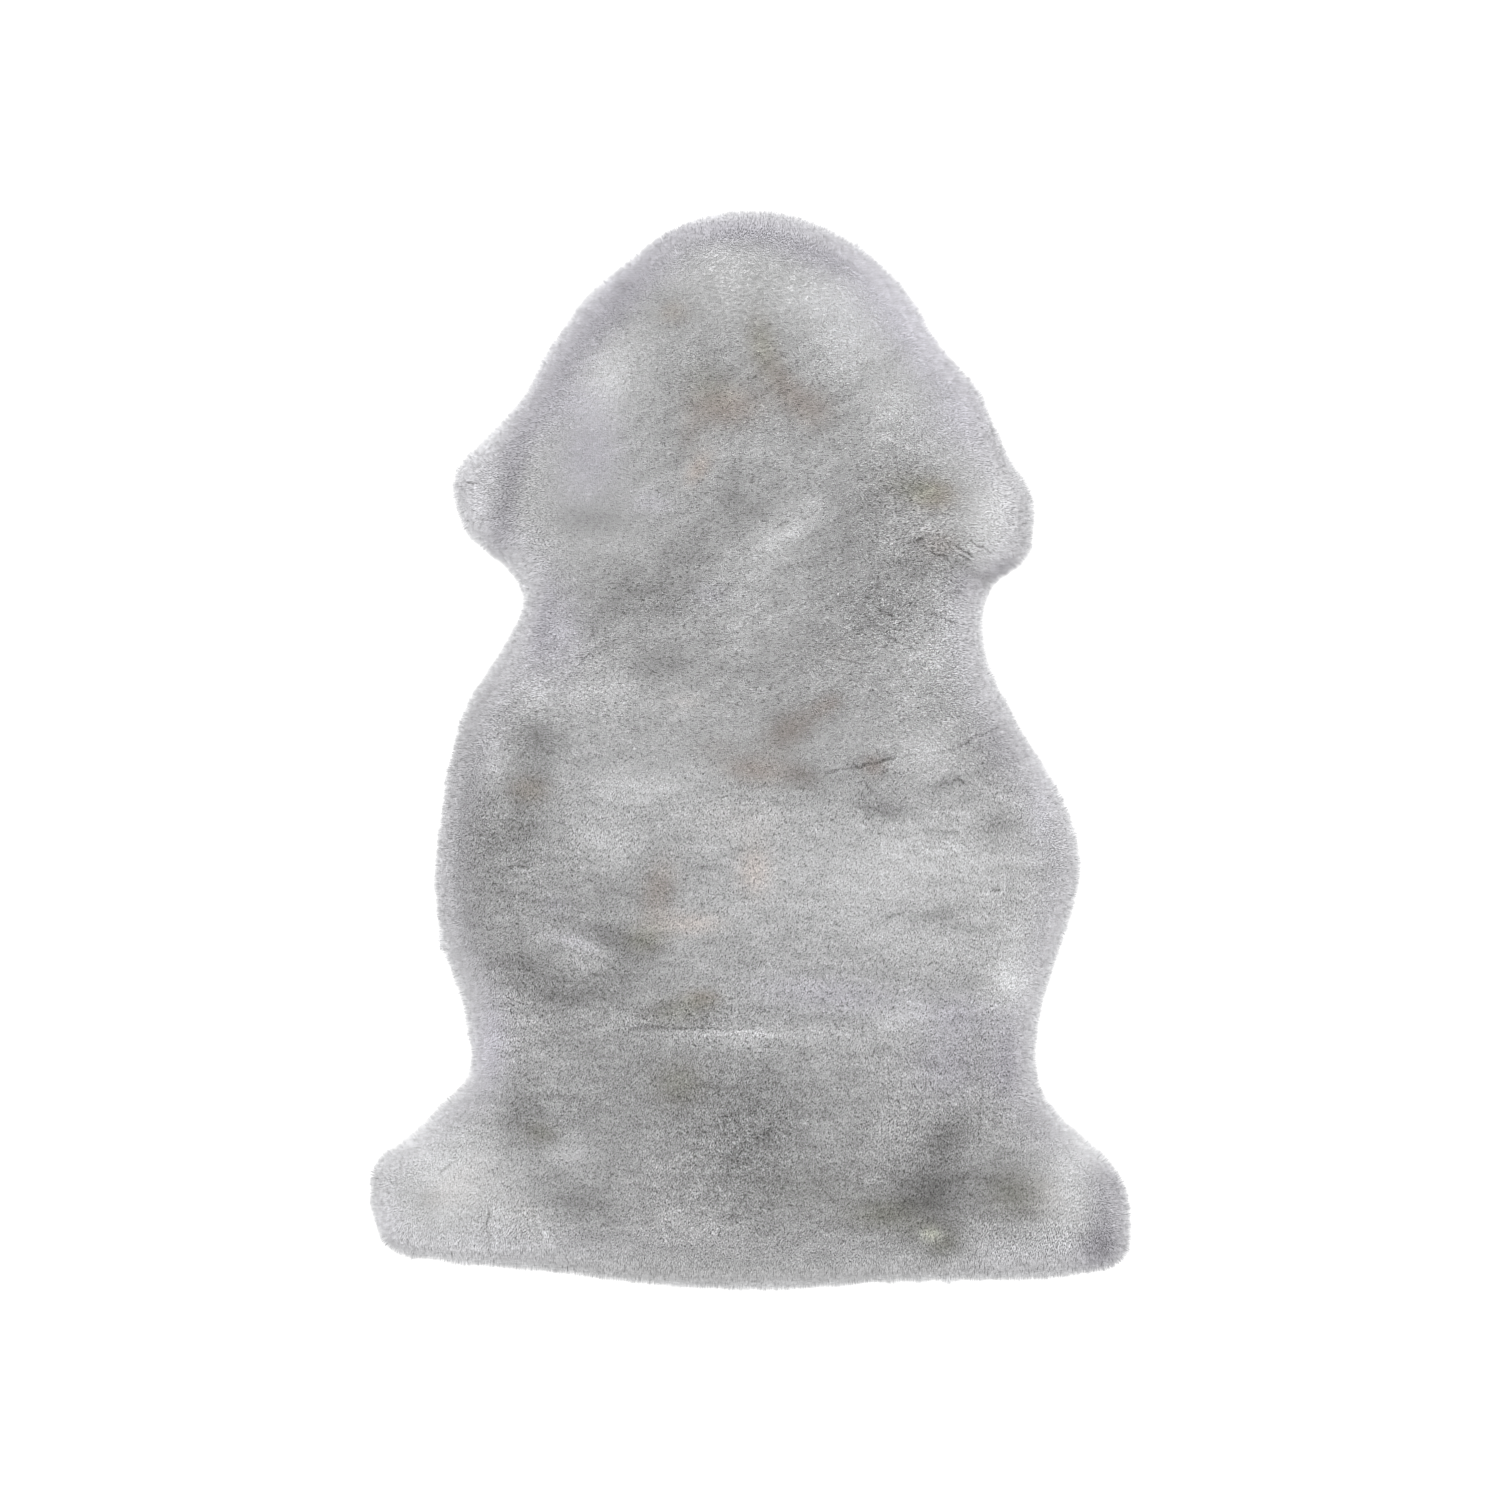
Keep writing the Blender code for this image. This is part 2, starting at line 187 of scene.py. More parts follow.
def floor_patch(mesh):
    """Keeps only the flat face on which the pelt lies."""
    upper = [face for face in mesh.faces if highest(face) > FLOOR_CONTACT]
    bmesh.ops.delete(mesh, geom=upper, context="FACES")
    return mesh


def walk_edge(mesh):
    """The points of the mesh's one open edge, in order round it, as rows of x and y."""
    open_edges = [edge for edge in mesh.edges if edge.is_boundary]
    vert = open_edges[0].verts[0]
    edge = open_edges[0]
    points = []
    for _ in open_edges:
        points.append(vert.co.xy)
        vert = edge.other_vert(vert)
        edge = next(other for other in vert.link_edges if other.is_boundary and other != edge)
    return np.array(points)


def new_piece(name, data, slot, *materials):
    """A finished piece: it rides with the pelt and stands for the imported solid."""
    piece = bpy.data.objects.new(name, data)
    bpy.context.scene.collection.objects.link(piece)
    for material in materials:
        data.materials.append(material)
    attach(piece, "root")
    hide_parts("lambskin")
    return piece


def make_hide():
    mesh = floor_patch(merged_copy(pelt))
    area = sum(face.calc_area() for face in mesh.faces)
    edge = walk_edge(mesh)
    lower = list(mesh.faces)
    raised = bmesh.ops.extrude_face_region(mesh, geom=lower, use_keep_orig=True)["geom"]
    lift = [item for item in raised if isinstance(item, bmesh.types.BMVert)]
    bmesh.ops.translate(mesh, verts=lift, vec=(0.0, 0.0, HIDE_THICKNESS))
    bmesh.ops.recalc_face_normals(mesh, faces=mesh.faces)
    corners = [side for side in mesh.edges if side.calc_face_angle(0.0) > CORNER_ANGLE]
    bmesh.ops.bevel(mesh, geom=corners, offset=HIDE_EDGE_ROUNDING, segments=2, affect="EDGES")
    data = bpy.data.meshes.new("hide")
    mesh.to_mesh(data)
    mesh.free()
    data.shade_smooth()
    data.set_sharp_from_angle(angle=math.radians(50))
    return new_piece("hide", data, "hide", suede_material()), edge, area


hide, hide_edge, hide_area = make_hide()

# ---------------------------------------------------------------------------------------------
# The fleece. The wool stands so dense on the hide that it is one springy body, sheared level
# with the solid's surface. This is its inside, where the tips of the nap begin to show, and its
# colour is darkened all over with the roots' painted shade.

NAP_DEPTH = 0.0045  # how far down between the tips the eye reaches
SHEARED_PITCH = 0.003  # of the mesh of the sheared surface
CLEFT_FILL = 0.007  # clefts between locks narrower than twice this are filled
RIM_REACH = 0.0024  # by which the outermost wool stands out past the rounded solid
RIM_REACH_DEPTH = 0.010  # over which that reach grows towards the rim
BODY_PITCH = 0.0045  # of the mesh of the fleece's body

WOOL_PIT = (0.080, 0.078, 0.076, 1.0)
WOOL_DEEP = (0.215, 0.212, 0.208, 1.0)
WOOL_MID = (0.520, 0.520, 0.522, 1.0)
WOOL_PALE = (0.980, 0.985, 1.000, 1.0)
BROWN_STAIN = (1.00, 0.88, 0.80, 1.0)
OLIVE_STAIN = (0.97, 0.98, 0.82, 1.0)
LILAC_CAST = (0.95, 0.93, 1.00, 1.0)

# The sizes of the patterns in the wool's tone, each run out along the way the wool is combed, and
# how strong they are, in tones.
STREAK_SIZE = 0.010
GRAIN_SIZE = 0.0011
STRAND_SIZE = 0.0014
WAVE_SIZE = 0.0026
HOLLOW_SIZE = 0.0028
STREAK_TONE = 0.80
FLECK_TONE = 1.85
UPPER_FLECK_TONE_LOSS = 0.42  # the neck and shoulders are combed smoother than the rest
FLECKS_AVERAGE = 0.79
PARTING_TONE = 0.15
STRAND_TONE = 0.95
# how much painted shade darkens the tufts' roots
ROOT_SHADE = 0.55
LOFT = 0.7  # how far the wool's depth evens out the light on it

# Where the wool's tone differs: light is in tones, of which the wool has about one each way,
# and is partly the wool's own tone and partly painted light and shade, from how the nap lies
# and folds. warm is 1 for stained brown and -1 for a lilac cast. length and width are to where
# a patch has faded to a third, and turn is from +X, in degrees. A stain is olive instead of
# brown as far as olive says.
Patch = namedtuple("Patch", "name x y length width turn light warm olive", defaults=(0.0,))
PATCHES = [
    Patch("crown_pale", -0.018, 0.424, 0.045, 0.022, 0, 0.14, 0.1),
    Patch("crown_pale_right", 0.055, 0.393, 0.030, 0.018, -10, 0.28, -0.2),
    Patch("crown_shade", -0.010, 0.455, 0.050, 0.012, 0, -0.19, -0.6),
    Patch("crown_shade_right", 0.055, 0.432, 0.042, 0.014, -15, -0.10, -0.6),
    Patch("crown_rim", 0.000, 0.463, 0.070, 0.014, 0, 0.13, 0.0),
    Patch("forehead_shade_left", -0.115, 0.395, 0.075, 0.020, 50, -0.23, -0.7),
    Patch("forehead_rim_left", -0.125, 0.420, 0.060, 0.012, 48, 0.32, 0.0),
    Patch("brow_stain", -0.068, 0.382, 0.018, 0.014, 0, -0.22, 0.9, 0.2),
    Patch("forehead_stain", 0.010, 0.357, 0.016, 0.030, 10, -0.28, 0.9, 0.8),
    Patch("forehead_stain_low", 0.030, 0.320, 0.030, 0.015, -58, -0.22, 0.8),
    Patch("neck_stain_right", 0.058, 0.298, 0.022, 0.024, 0, -0.19, 0.8),
    Patch("neck_shade_left", -0.040, 0.328, 0.026, 0.020, 0, -0.25, 0.4, 0.8),
    Patch("neck_stain_left", -0.022, 0.300, 0.038, 0.022, 0, -0.19, 1.2),
    Patch("neck_stain_left_low", -0.055, 0.272, 0.020, 0.012, 70, -0.20, 0.5),
    Patch("neck_pale_right", 0.085, 0.360, 0.036, 0.030, 80, 0.38, -0.3),
    Patch("neck_pale_left", -0.125, 0.325, 0.038, 0.026, 60, 0.38, 0.0),
    Patch("neck_pale_far_left", -0.148, 0.303, 0.024, 0.014, 20, 0.03, -0.4),
    Patch("neck_cool_left", -0.140, 0.258, 0.050, 0.032, 80, 0.05, -1.1),
    Patch("neck_rim_left", -0.207, 0.318, 0.075, 0.012, 58, 0.53, 0.1),
    Patch("neck_band_left", -0.180, 0.305, 0.060, 0.016, 60, -0.15, -0.4),
    Patch("neck_cool_right", 0.168, 0.285, 0.034, 0.026, 0, 0.15, -0.5),
    Patch("neck_rim_right", 0.137, 0.372, 0.080, 0.024, -52, 0.18, -0.5),
    Patch("neck_pale_low_right", 0.120, 0.300, 0.030, 0.018, 60, 0.32, 0.1),
    Patch("nape_rosy", -0.045, 0.245, 0.020, 0.011, 55, 0.17, 1.1),
    Patch("nape_grey", 0.000, 0.262, 0.040, 0.011, 0, 0.15, 0.1),
    Patch("nape_shade", -0.008, 0.216, 0.026, 0.018, -40, -0.32, 0.0),
    Patch("nape_shade_low", -0.048, 0.178, 0.032, 0.018, 45, -0.24, 0.0),
    Patch("nape_pale", 0.026, 0.186, 0.050, 0.015, 40, 0.42, 0.1),
    Patch("shoulder_cool_left", -0.085, 0.215, 0.020, 0.012, 0, 0.20, -0.7),
    Patch("shoulder_shade_left", -0.140, 0.202, 0.030, 0.013, 0, -0.38, 0.0),
    Patch("shoulder_dark_left", -0.100, 0.138, 0.052, 0.022, 8, -0.34, 0.0),
    Patch("shoulder_shade_low_left", -0.125, 0.104, 0.030, 0.016, 20, -0.11, 0.0),
    Patch("shoulder_cool_low_left", -0.035, 0.135, 0.018, 0.010, 0, 0.06, -0.7),
    Patch("shoulder_olive_right", 0.140, 0.230, 0.036, 0.018, -8, -0.45, 0.7, 1.0),
    Patch("shoulder_brown_right", 0.163, 0.222, 0.020, 0.014, 0, -0.22, 1.1),
    Patch("shoulder_shade_right", 0.105, 0.214, 0.028, 0.014, 0, -0.27, 0.0),
    Patch("shoulder_stain_right", 0.170, 0.178, 0.030, 0.016, -15, -0.22, 0.7),
    Patch("shoulder_dark_right", 0.145, 0.164, 0.028, 0.014, 0, -0.30, 0.1),
    Patch("shoulder_grey_right", 0.085, 0.178, 0.036, 0.022, 30, -0.24, 0.0),
    Patch("foreleg_shade_left", -0.212, 0.222, 0.052, 0.012, 79, -0.42, -0.7),
    Patch("foreleg_pale_left", -0.240, 0.215, 0.034, 0.014, 85, 0.17, 0.0),
    Patch("foreleg_pale_right", 0.216, 0.206, 0.038, 0.020, 80, 0.30, 0.3),
    Patch("foreleg_rim_right", 0.243, 0.205, 0.024, 0.008, 85, -0.12, 0.0),
    # Painted shade where the right foreleg's lobe folds against the waist.
    Patch("foreleg_lobe_shade_right", 0.222, 0.155, 0.016, 0.009, 25, -0.45, -0.5),
    Patch("waist_shade_right", 0.186, 0.146, 0.018, 0.013, -35, -0.25, -0.3),
    Patch("withers_pale", 0.004, 0.120, 0.040, 0.026, 20, 0.18, 0.0),
    Patch("withers_shade_low", 0.030, 0.074, 0.050, 0.016, 0, -0.12, 0.0),
    Patch("withers_shade_right", 0.100, 0.118, 0.056, 0.026, 15, -0.12, 0.0),
    Patch("withers_rosy", 0.078, 0.085, 0.018, 0.012, 0, -0.12, 0.4),
    Patch("waist_cool_left", -0.162, 0.092, 0.046, 0.022, 75, 0.06, -0.8),
    Patch("waist_shade_left", -0.182, 0.112, 0.036, 0.010, 80, -0.24, -0.5),
    Patch("waist_pale_right", 0.155, 0.092, 0.040, 0.022, 80, 0.23, 0.0),
    Patch("rib_shade_left", -0.080, 0.075, 0.030, 0.014, 0, -0.38, 0.0),
    Patch("rib_pale_left", -0.130, 0.048, 0.042, 0.018, 0, 0.20, 0.0),
    Patch("rib_rosy", -0.055, 0.042, 0.024, 0.010, 0, 0.22, 0.5),
    Patch("flank_pale_left", -0.186, 0.045, 0.014, 0.013, 0, 0.36, 0.0),
    Patch("flank_dark_left", -0.188, 0.006, 0.025, 0.022, 90, -0.60, 0.0),
    Patch("flank_stain_left", -0.193, -0.035, 0.022, 0.015, 0, -0.47, 1.1, 0.3),
    Patch("flank_pale_far_left", -0.225, -0.010, 0.028, 0.012, 80, 0.32, -0.1),
    Patch("flank_rim_left", -0.245, -0.060, 0.130, 0.022, 90, -0.30, 0.0),
    Patch("belly_dark_left", -0.205, -0.073, 0.028, 0.016, 10, -0.34, 0.3, 0.5),
    Patch("belly_shade_left", -0.215, -0.128, 0.070, 0.034, 90, -0.13, 0.0),
    Patch("back_stain", 0.035, 0.018, 0.030, 0.018, 30, -0.45, 1.0),
    Patch("back_olive", 0.070, 0.040, 0.016, 0.010, 25, -0.36, 0.8),
    Patch("back_stain_left", 0.004, -0.018, 0.036, 0.014, -8, -0.22, 1.0),
    Patch("back_shade", -0.032, 0.004, 0.026, 0.010, 10, -0.15, 0.4),
    Patch("back_dark", 0.048, -0.022, 0.020, 0.012, -25, -0.42, 0.5),
    Patch("loin_spot_right", 0.108, -0.014, 0.013, 0.012, 0, -0.30, 1.0),
    Patch("loin_dark_right", 0.118, -0.050, 0.022, 0.011, -15, -0.56, -0.3),
    Patch("loin_pale_right", 0.150, -0.004, 0.022, 0.016, 0, 0.42, 0.0),
    Patch("flank_shade_right", 0.214, -0.003, 0.026, 0.020, 80, -0.28, -0.2),
    Patch("flank_rim_right", 0.250, -0.060, 0.130, 0.024, 90, 0.04, 0.0),
    Patch("flank_bright_right", 0.253, -0.060, 0.034, 0.011, 80, 0.21, -0.2),
    Patch("flank_pale_low_right", 0.232, -0.168, 0.030, 0.016, 75, 0.23, 0.2),
    Patch("flank_spot_right", 0.172, -0.030, 0.018, 0.008, 15, -0.22, 0.0),
    Patch("belly_spot_right", 0.215, -0.070, 0.018, 0.014, 0, -0.34, 0.0),
    Patch("belly_pale_left", -0.126, -0.080, 0.026, 0.018, -5, 0.27, 0.0),
    Patch("back_pale_left", -0.100, -0.032, 0.056, 0.017, 3, 0.32, 0.0),
    Patch("back_pale", -0.010, -0.060, 0.060, 0.022, 0, 0.25, 0.4),
    Patch("belly_pale_right", 0.112, -0.112, 0.110, 0.048, 5, 0.32, 0.2),
    Patch("belly_bright_right", 0.145, -0.086, 0.026, 0.013, 0, 0.04, 0.0),
    Patch("belly_smudge_right", 0.168, -0.145, 0.022, 0.010, 10, -0.38, 0.0),
    Patch("belly_pale_low_right", 0.150, -0.172, 0.050, 0.018, -10, 0.27, 0.0),
    Patch("belly_cool_right", 0.070, -0.214, 0.075, 0.018, -5, 0.20, -0.9),
    Patch("loin_cool_right", 0.185, -0.232, 0.034, 0.020, 0, 0.15, -0.8),
    Patch("rib_stain_left", -0.080, -0.122, 0.032, 0.018, 75, -0.22, 1.0),
    Patch("rib_shade_low_left", -0.125, -0.125, 0.036, 0.018, 0, -0.23, 0.0),
    Patch("rib_olive_left", -0.096, -0.168, 0.024, 0.015, 0, -0.40, 0.9, 1.0),
    Patch("rib_rosy_low", -0.050, -0.152, 0.032, 0.012, 0, 0.33, 0.9),
    Patch("rib_pale_low", 0.004, -0.106, 0.026, 0.018, 90, 0.17, 0.9),
    Patch("loin_streak_left", -0.155, -0.168, 0.030, 0.007, -18, 0.36, -0.6),
    Patch("loin_dark_left", -0.130, -0.163, 0.032, 0.011, -28, -0.51, -0.3),
    Patch("loin_cool_left", -0.170, -0.136, 0.014, 0.010, 0, -0.06, -0.7),
    Patch("loin_shade_far_left", -0.198, -0.188, 0.026, 0.014, -15, -0.54, 0.0),
    Patch("loin_darkest_left", -0.163, -0.214, 0.042, 0.018, -5, -0.66, 0.0),
    Patch("loin_shade_left", -0.110, -0.200, 0.030, 0.014, 10, -0.35, 0.0),
    Patch("loin_olive", -0.064, -0.228, 0.034, 0.015, 5, -0.27, 0.8, 1.0),
    Patch("loin_stain", -0.040, -0.216, 0.018, 0.009, 0, -0.10, 1.0),
    Patch("loin_pale_left", -0.120, -0.236, 0.030, 0.009, 0, 0.23, 0.0),
    Patch("loin_dim_left", -0.140, -0.246, 0.085, 0.030, 0, -0.12, 0.0),
    Patch("hip_cool_left", -0.226, -0.255, 0.036, 0.016, 85, 0.24, -0.6),
    Patch("loin_ridge_bright", -0.012, -0.250, 0.022, 0.009, 0, 0.27, 0.0),
    Patch("loin_ridge_pale", 0.020, -0.250, 0.105, 0.010, 0, 0.24, 0.0),
    Patch("loin_pale_far_right", 0.132, -0.234, 0.026, 0.014, 10, 0.38, 0.0),
    Patch("hip_bright_right", 0.224, -0.205, 0.020, 0.022, 0, 0.53, 0.4),
    Patch("hip_cool_right", 0.174, -0.276, 0.034, 0.032, 0, -0.08, -1.0),
    Patch("hip_cool_far_right", 0.224, -0.275, 0.028, 0.014, 85, -0.17, -0.6),
    Patch("rump_shade", -0.055, -0.298, 0.110, 0.042, -5, -0.23, 0.0),
    Patch("rump_dim", 0.000, -0.350, 0.190, 0.075, 0, -0.24, 0.0),
    Patch("rump_olive_left", -0.062, -0.292, 0.028, 0.024, 0, -0.25, 0.9, 1.0),
    Patch("rump_dark", 0.018, -0.318, 0.038, 0.026, 75, -0.06, 0.0),
    Patch("rump_dark_low", 0.050, -0.385, 0.070, 0.028, 0, -0.22, 0.4, 1.0),
    Patch("rump_grey_right", 0.105, -0.330, 0.026, 0.020, 60, 0.02, 0.0),
    Patch("thigh_darkest_right", 0.158, -0.384, 0.036, 0.032, 10, -0.89, 0.1),
    Patch("thigh_dark_tail_right", 0.115, -0.405, 0.036, 0.014, 10, -0.38, 0.7, 1.0),
    Patch("thigh_dark_high_right", 0.172, -0.335, 0.022, 0.015, 15, -0.69, 0.1),
    Patch("thigh_dark_far_right", 0.228, -0.388, 0.030, 0.026, -10, -0.67, 0.8, 1.0),
    Patch("thigh_dark_low_right", 0.170, -0.436, 0.020, 0.013, 30, -0.58, 0.8, 1.0),
    Patch("thigh_spot_pale_right", 0.158, -0.422, 0.009, 0.007, 0, 0.45, 0.6, 1.0),
    Patch("thigh_olive_low_right", 0.150, -0.424, 0.036, 0.018, 0, -0.21, 0.7, 1.0),
    Patch("rump_pale_low_right", 0.208, -0.434, 0.020, 0.008, -50, 0.08, 0.0),
    Patch("rump_grey_low", 0.040, -0.432, 0.050, 0.012, 0, 0.02, 0.0),
    Patch("rump_grey_low_left", -0.050, -0.415, 0.040, 0.013, 0, 0.10, 0.0),
    Patch("tail_rim", 0.000, -0.455, 0.220, 0.018, 0, -0.28, 0.5),
    Patch("thigh_dark_left", -0.200, -0.318, 0.028, 0.020, 90, -0.49, 0.0),
    Patch("thigh_olive_left", -0.182, -0.335, 0.020, 0.012, -10, -0.36, 0.8, 1.0),
    Patch("thigh_pale_left", -0.156, -0.352, 0.020, 0.014, 0, 0.38, -0.2),
    Patch("thigh_shade_left", -0.148, -0.396, 0.034, 0.014, -20, -0.34, 0.0),
    Patch("hind_leg_pale_left", -0.262, -0.376, 0.058, 0.048, 30, 0.53, 0.3),
    Patch("hind_leg_dim_left", -0.286, -0.392, 0.014, 0.012, 0, -0.24, 0.0),
    Patch("hind_leg_cool_left", -0.316, -0.412, 0.020, 0.020, 0, 0.06, -0.2),
    Patch("hind_leg_plain_left", -0.285, -0.385, 0.070, 0.060, 20, 0.00, 0.2),
    Patch("hind_leg_spot_left", -0.216, -0.416, 0.016, 0.008, 85, 0.08, 0.0),
    Patch("hind_leg_ridge_left", -0.190, -0.412, 0.026, 0.012, -60, 0.19, 0.4),
    Patch("hind_leg_pale_right", 0.277, -0.368, 0.045, 0.024, 60, 0.37, 0.4),
    Patch("hind_leg_bright_right", 0.284, -0.404, 0.018, 0.013, 60, 0.22, 0.0),
    Patch("hind_leg_cool_right", 0.306, -0.436, 0.018, 0.014, 60, -0.56, -0.8),
    Patch("hind_leg_rim_right", 0.315, -0.398, 0.050, 0.020, 75, -0.19, -0.3),
]
GENERAL_TONE = -0.108

# How the tone runs from the tips at the rim inward: the outer wool lies on its side, cool in
# colour, and turns upright within about 5 cm. The pale band at the rim is painted highlight,
# for the light on the sides of the wool that lies there.
RimTone = namedtuple("RimTone", "inset light warm")
RIM_TONES = [
    RimTone(0.000, 0.90, -0.2),
    RimTone(0.004, 0.42, -0.5),
    RimTone(0.009, 0.07, -0.7),
    RimTone(0.014, 0.06, -0.7),
    RimTone(0.018, 0.07, -0.7),
    RimTone(0.024, 0.13, -0.7),
    RimTone(0.034, 0.10, -0.5),
    RimTone(0.055, 0.03, -0.1),
]

# How rough the wool looks: 1 in most of the pelt, next to nothing in the combed wool at the rim,
# and more or less than that in these places.
ROUGH_FROM_RIM = 0.045
LEAST_ROUGH, MOST_ROUGH = 0.05, 1.8
Coat = namedtuple("Coat", "name x y length width turn rough")
COATS = [
    Coat("crown_soft", 0.000, 0.410, 0.110, 0.050, 0, -0.55),
    Coat("neck_smooth_left", -0.155, 0.270, 0.110, 0.050, 65, -0.55),
    Coat("neck_smooth_right", 0.125, 0.355, 0.090, 0.040, -55, -0.40),
    Coat("neck_smooth_far_right", 0.180, 0.285, 0.060, 0.030, -60, -0.35),
    Coat("foreleg_smooth_right", 0.210, 0.215, 0.072, 0.042, 80, -0.75),
    Coat("foreleg_smooth_left", -0.235, 0.220, 0.055, 0.026, 85, -0.50),
    Coat("shoulder_smooth_left", -0.130, 0.205, 0.050, 0.040, 0, -0.40),
    Coat("waist_smooth_left", -0.175, 0.100, 0.060, 0.028, 75, -0.30),
    Coat("ribs_soft_left", -0.120, 0.065, 0.050, 0.028, 0, -0.12),
    Coat("withers_rough_right", 0.120, 0.125, 0.050, 0.030, 0, 0.45),
    Coat("shoulder_rough_right", 0.165, 0.178, 0.040, 0.024, -10, 0.30),
    Coat("withers_rough_left", -0.060, 0.125, 0.070, 0.022, 0, 0.15),
    Coat("back_rough_right", 0.110, -0.015, 0.030, 0.018, 10, 0.30),
    Coat("back_rough", 0.005, -0.033, 0.022, 0.020, 0, 0.25),
    Coat("belly_soft", 0.130, -0.110, 0.100, 0.045, 5, -0.15),
    Coat("belly_rough_left", -0.205, -0.095, 0.060, 0.040, -60, 0.30),
    Coat("loin_rough", -0.060, -0.235, 0.060, 0.016, 0, 0.35),
    Coat("rump_rough", -0.005, -0.345, 0.062, 0.044, 90, 0.65),
    Coat("rump_rough_left", -0.160, -0.315, 0.050, 0.020, 20, 0.20),
    Coat("belly_soft_right", 0.230, -0.080, 0.090, 0.030, 85, -0.20),
    Coat("hind_leg_soft_left", -0.280, -0.390, 0.060, 0.045, 20, -0.50),
    Coat("hind_leg_soft_right", 0.280, -0.385, 0.055, 0.045, -20, -0.50),
    Coat("tail_soft", 0.000, -0.455, 0.250, 0.022, 0, -0.10),
]


def shares_of(rows, x, y):
    """Each patch or coat, and how much of it there is at each place."""
    for row in rows:
        turn = math.radians(row.turn)
        dx, dy = x - row.x, y - row.y
        along = (dx * math.cos(turn) + dy * math.sin(turn)) / row.length
        across = (dy * math.cos(turn) - dx * math.sin(turn)) / row.width
        yield row, np.exp(-along * along - across * across)


def eased(share):
    """A share from 0 to 1 that sets off and arrives gently."""
    return share * share * (3 - 2 * share)


def roughness_at(x, y, inset):
    """How rough the wool looks at rows of places, inset from the rim."""
    inward = np.clip(inset / ROUGH_FROM_RIM, 0, 1)
    rough = eased(inward)
    for coat, share in shares_of(COATS, x, y):
        rough = rough + coat.rough * share * inward
    return np.clip(rough, LEAST_ROUGH, MOST_ROUGH)


def tones_at(x, y, inset):
    """The wool's tones at rows of places inset from the rim: light, with painted light and shade in
    it, warm and olive.
    """
    insets = [row.inset for row in RIM_TONES]
    light = np.interp(inset, insets, [row.light for row in RIM_TONES]) + GENERAL_TONE
    warm = np.interp(inset, insets, [row.warm for row in RIM_TONES])
    olive = np.zeros(len(x))
    for patch, share in shares_of(PATCHES, x, y):
        light += patch.light * share
        warm += patch.warm * share
        olive += patch.olive * share
    return light, warm, np.clip(olive, 0, 1)


def outline_facts(edge, steps=6):
    """Points along the hide's edge, close together, each with its outward direction."""
    nexts = np.roll(edge, -1, axis=0)
    dense = np.concatenate([edge + (nexts - edge) * step / steps for step in range(steps)], axis=1)
    dense = dense.reshape(-1, 2)
    along = np.roll(dense, -2 * steps, axis=0) - np.roll(dense, 2 * steps, axis=0)
    turned = np.sign(np.sum(edge[:, 0] * nexts[:, 1] - edge[:, 1] * nexts[:, 0]))
    outward = turned * np.column_stack([along[:, 1], -along[:, 0]])
    return dense, outward / np.linalg.norm(outward, axis=1)[:, None]


edge_points, edge_outward = outline_facts(hide_edge)
edge_tree = KDTree(len(edge_points))
for index, (edge_x, edge_y) in enumerate(edge_points):
    edge_tree.insert((edge_x, edge_y, 0.0), index)
edge_tree.balance()


def from_rim(x, y):
    """How far each place lies inside the wool's tips at the rim, and which way is out."""
    nearest = np.array([edge_tree.find((px, py, 0.0))[1] for px, py in zip(x, y)])
    away = np.column_stack([x, y]) - edge_points[nearest]
    outward = edge_outward[nearest]
    side = np.sign(np.sum(away * outward, axis=1))
    return HIDE_INSET - side * np.linalg.norm(away, axis=1), outward


def keep_field(data, name, values):
    """Stores one value, or one vector, for each vertex."""
    single = values.ndim == 1
    field = data.attributes.new(name, "FLOAT" if single else "FLOAT_VECTOR", "POINT")
    field.data.foreach_set("value" if single else "vector", values.astype(np.float32).ravel())


def read_field(data, name):
    """The vectors that are stored under a name, one row for each vertex."""
    values = np.empty(len(data.vertices) * 3, np.float32)
    data.attributes[name].data.foreach_get("vector", values)
    return values.reshape(-1, 3)


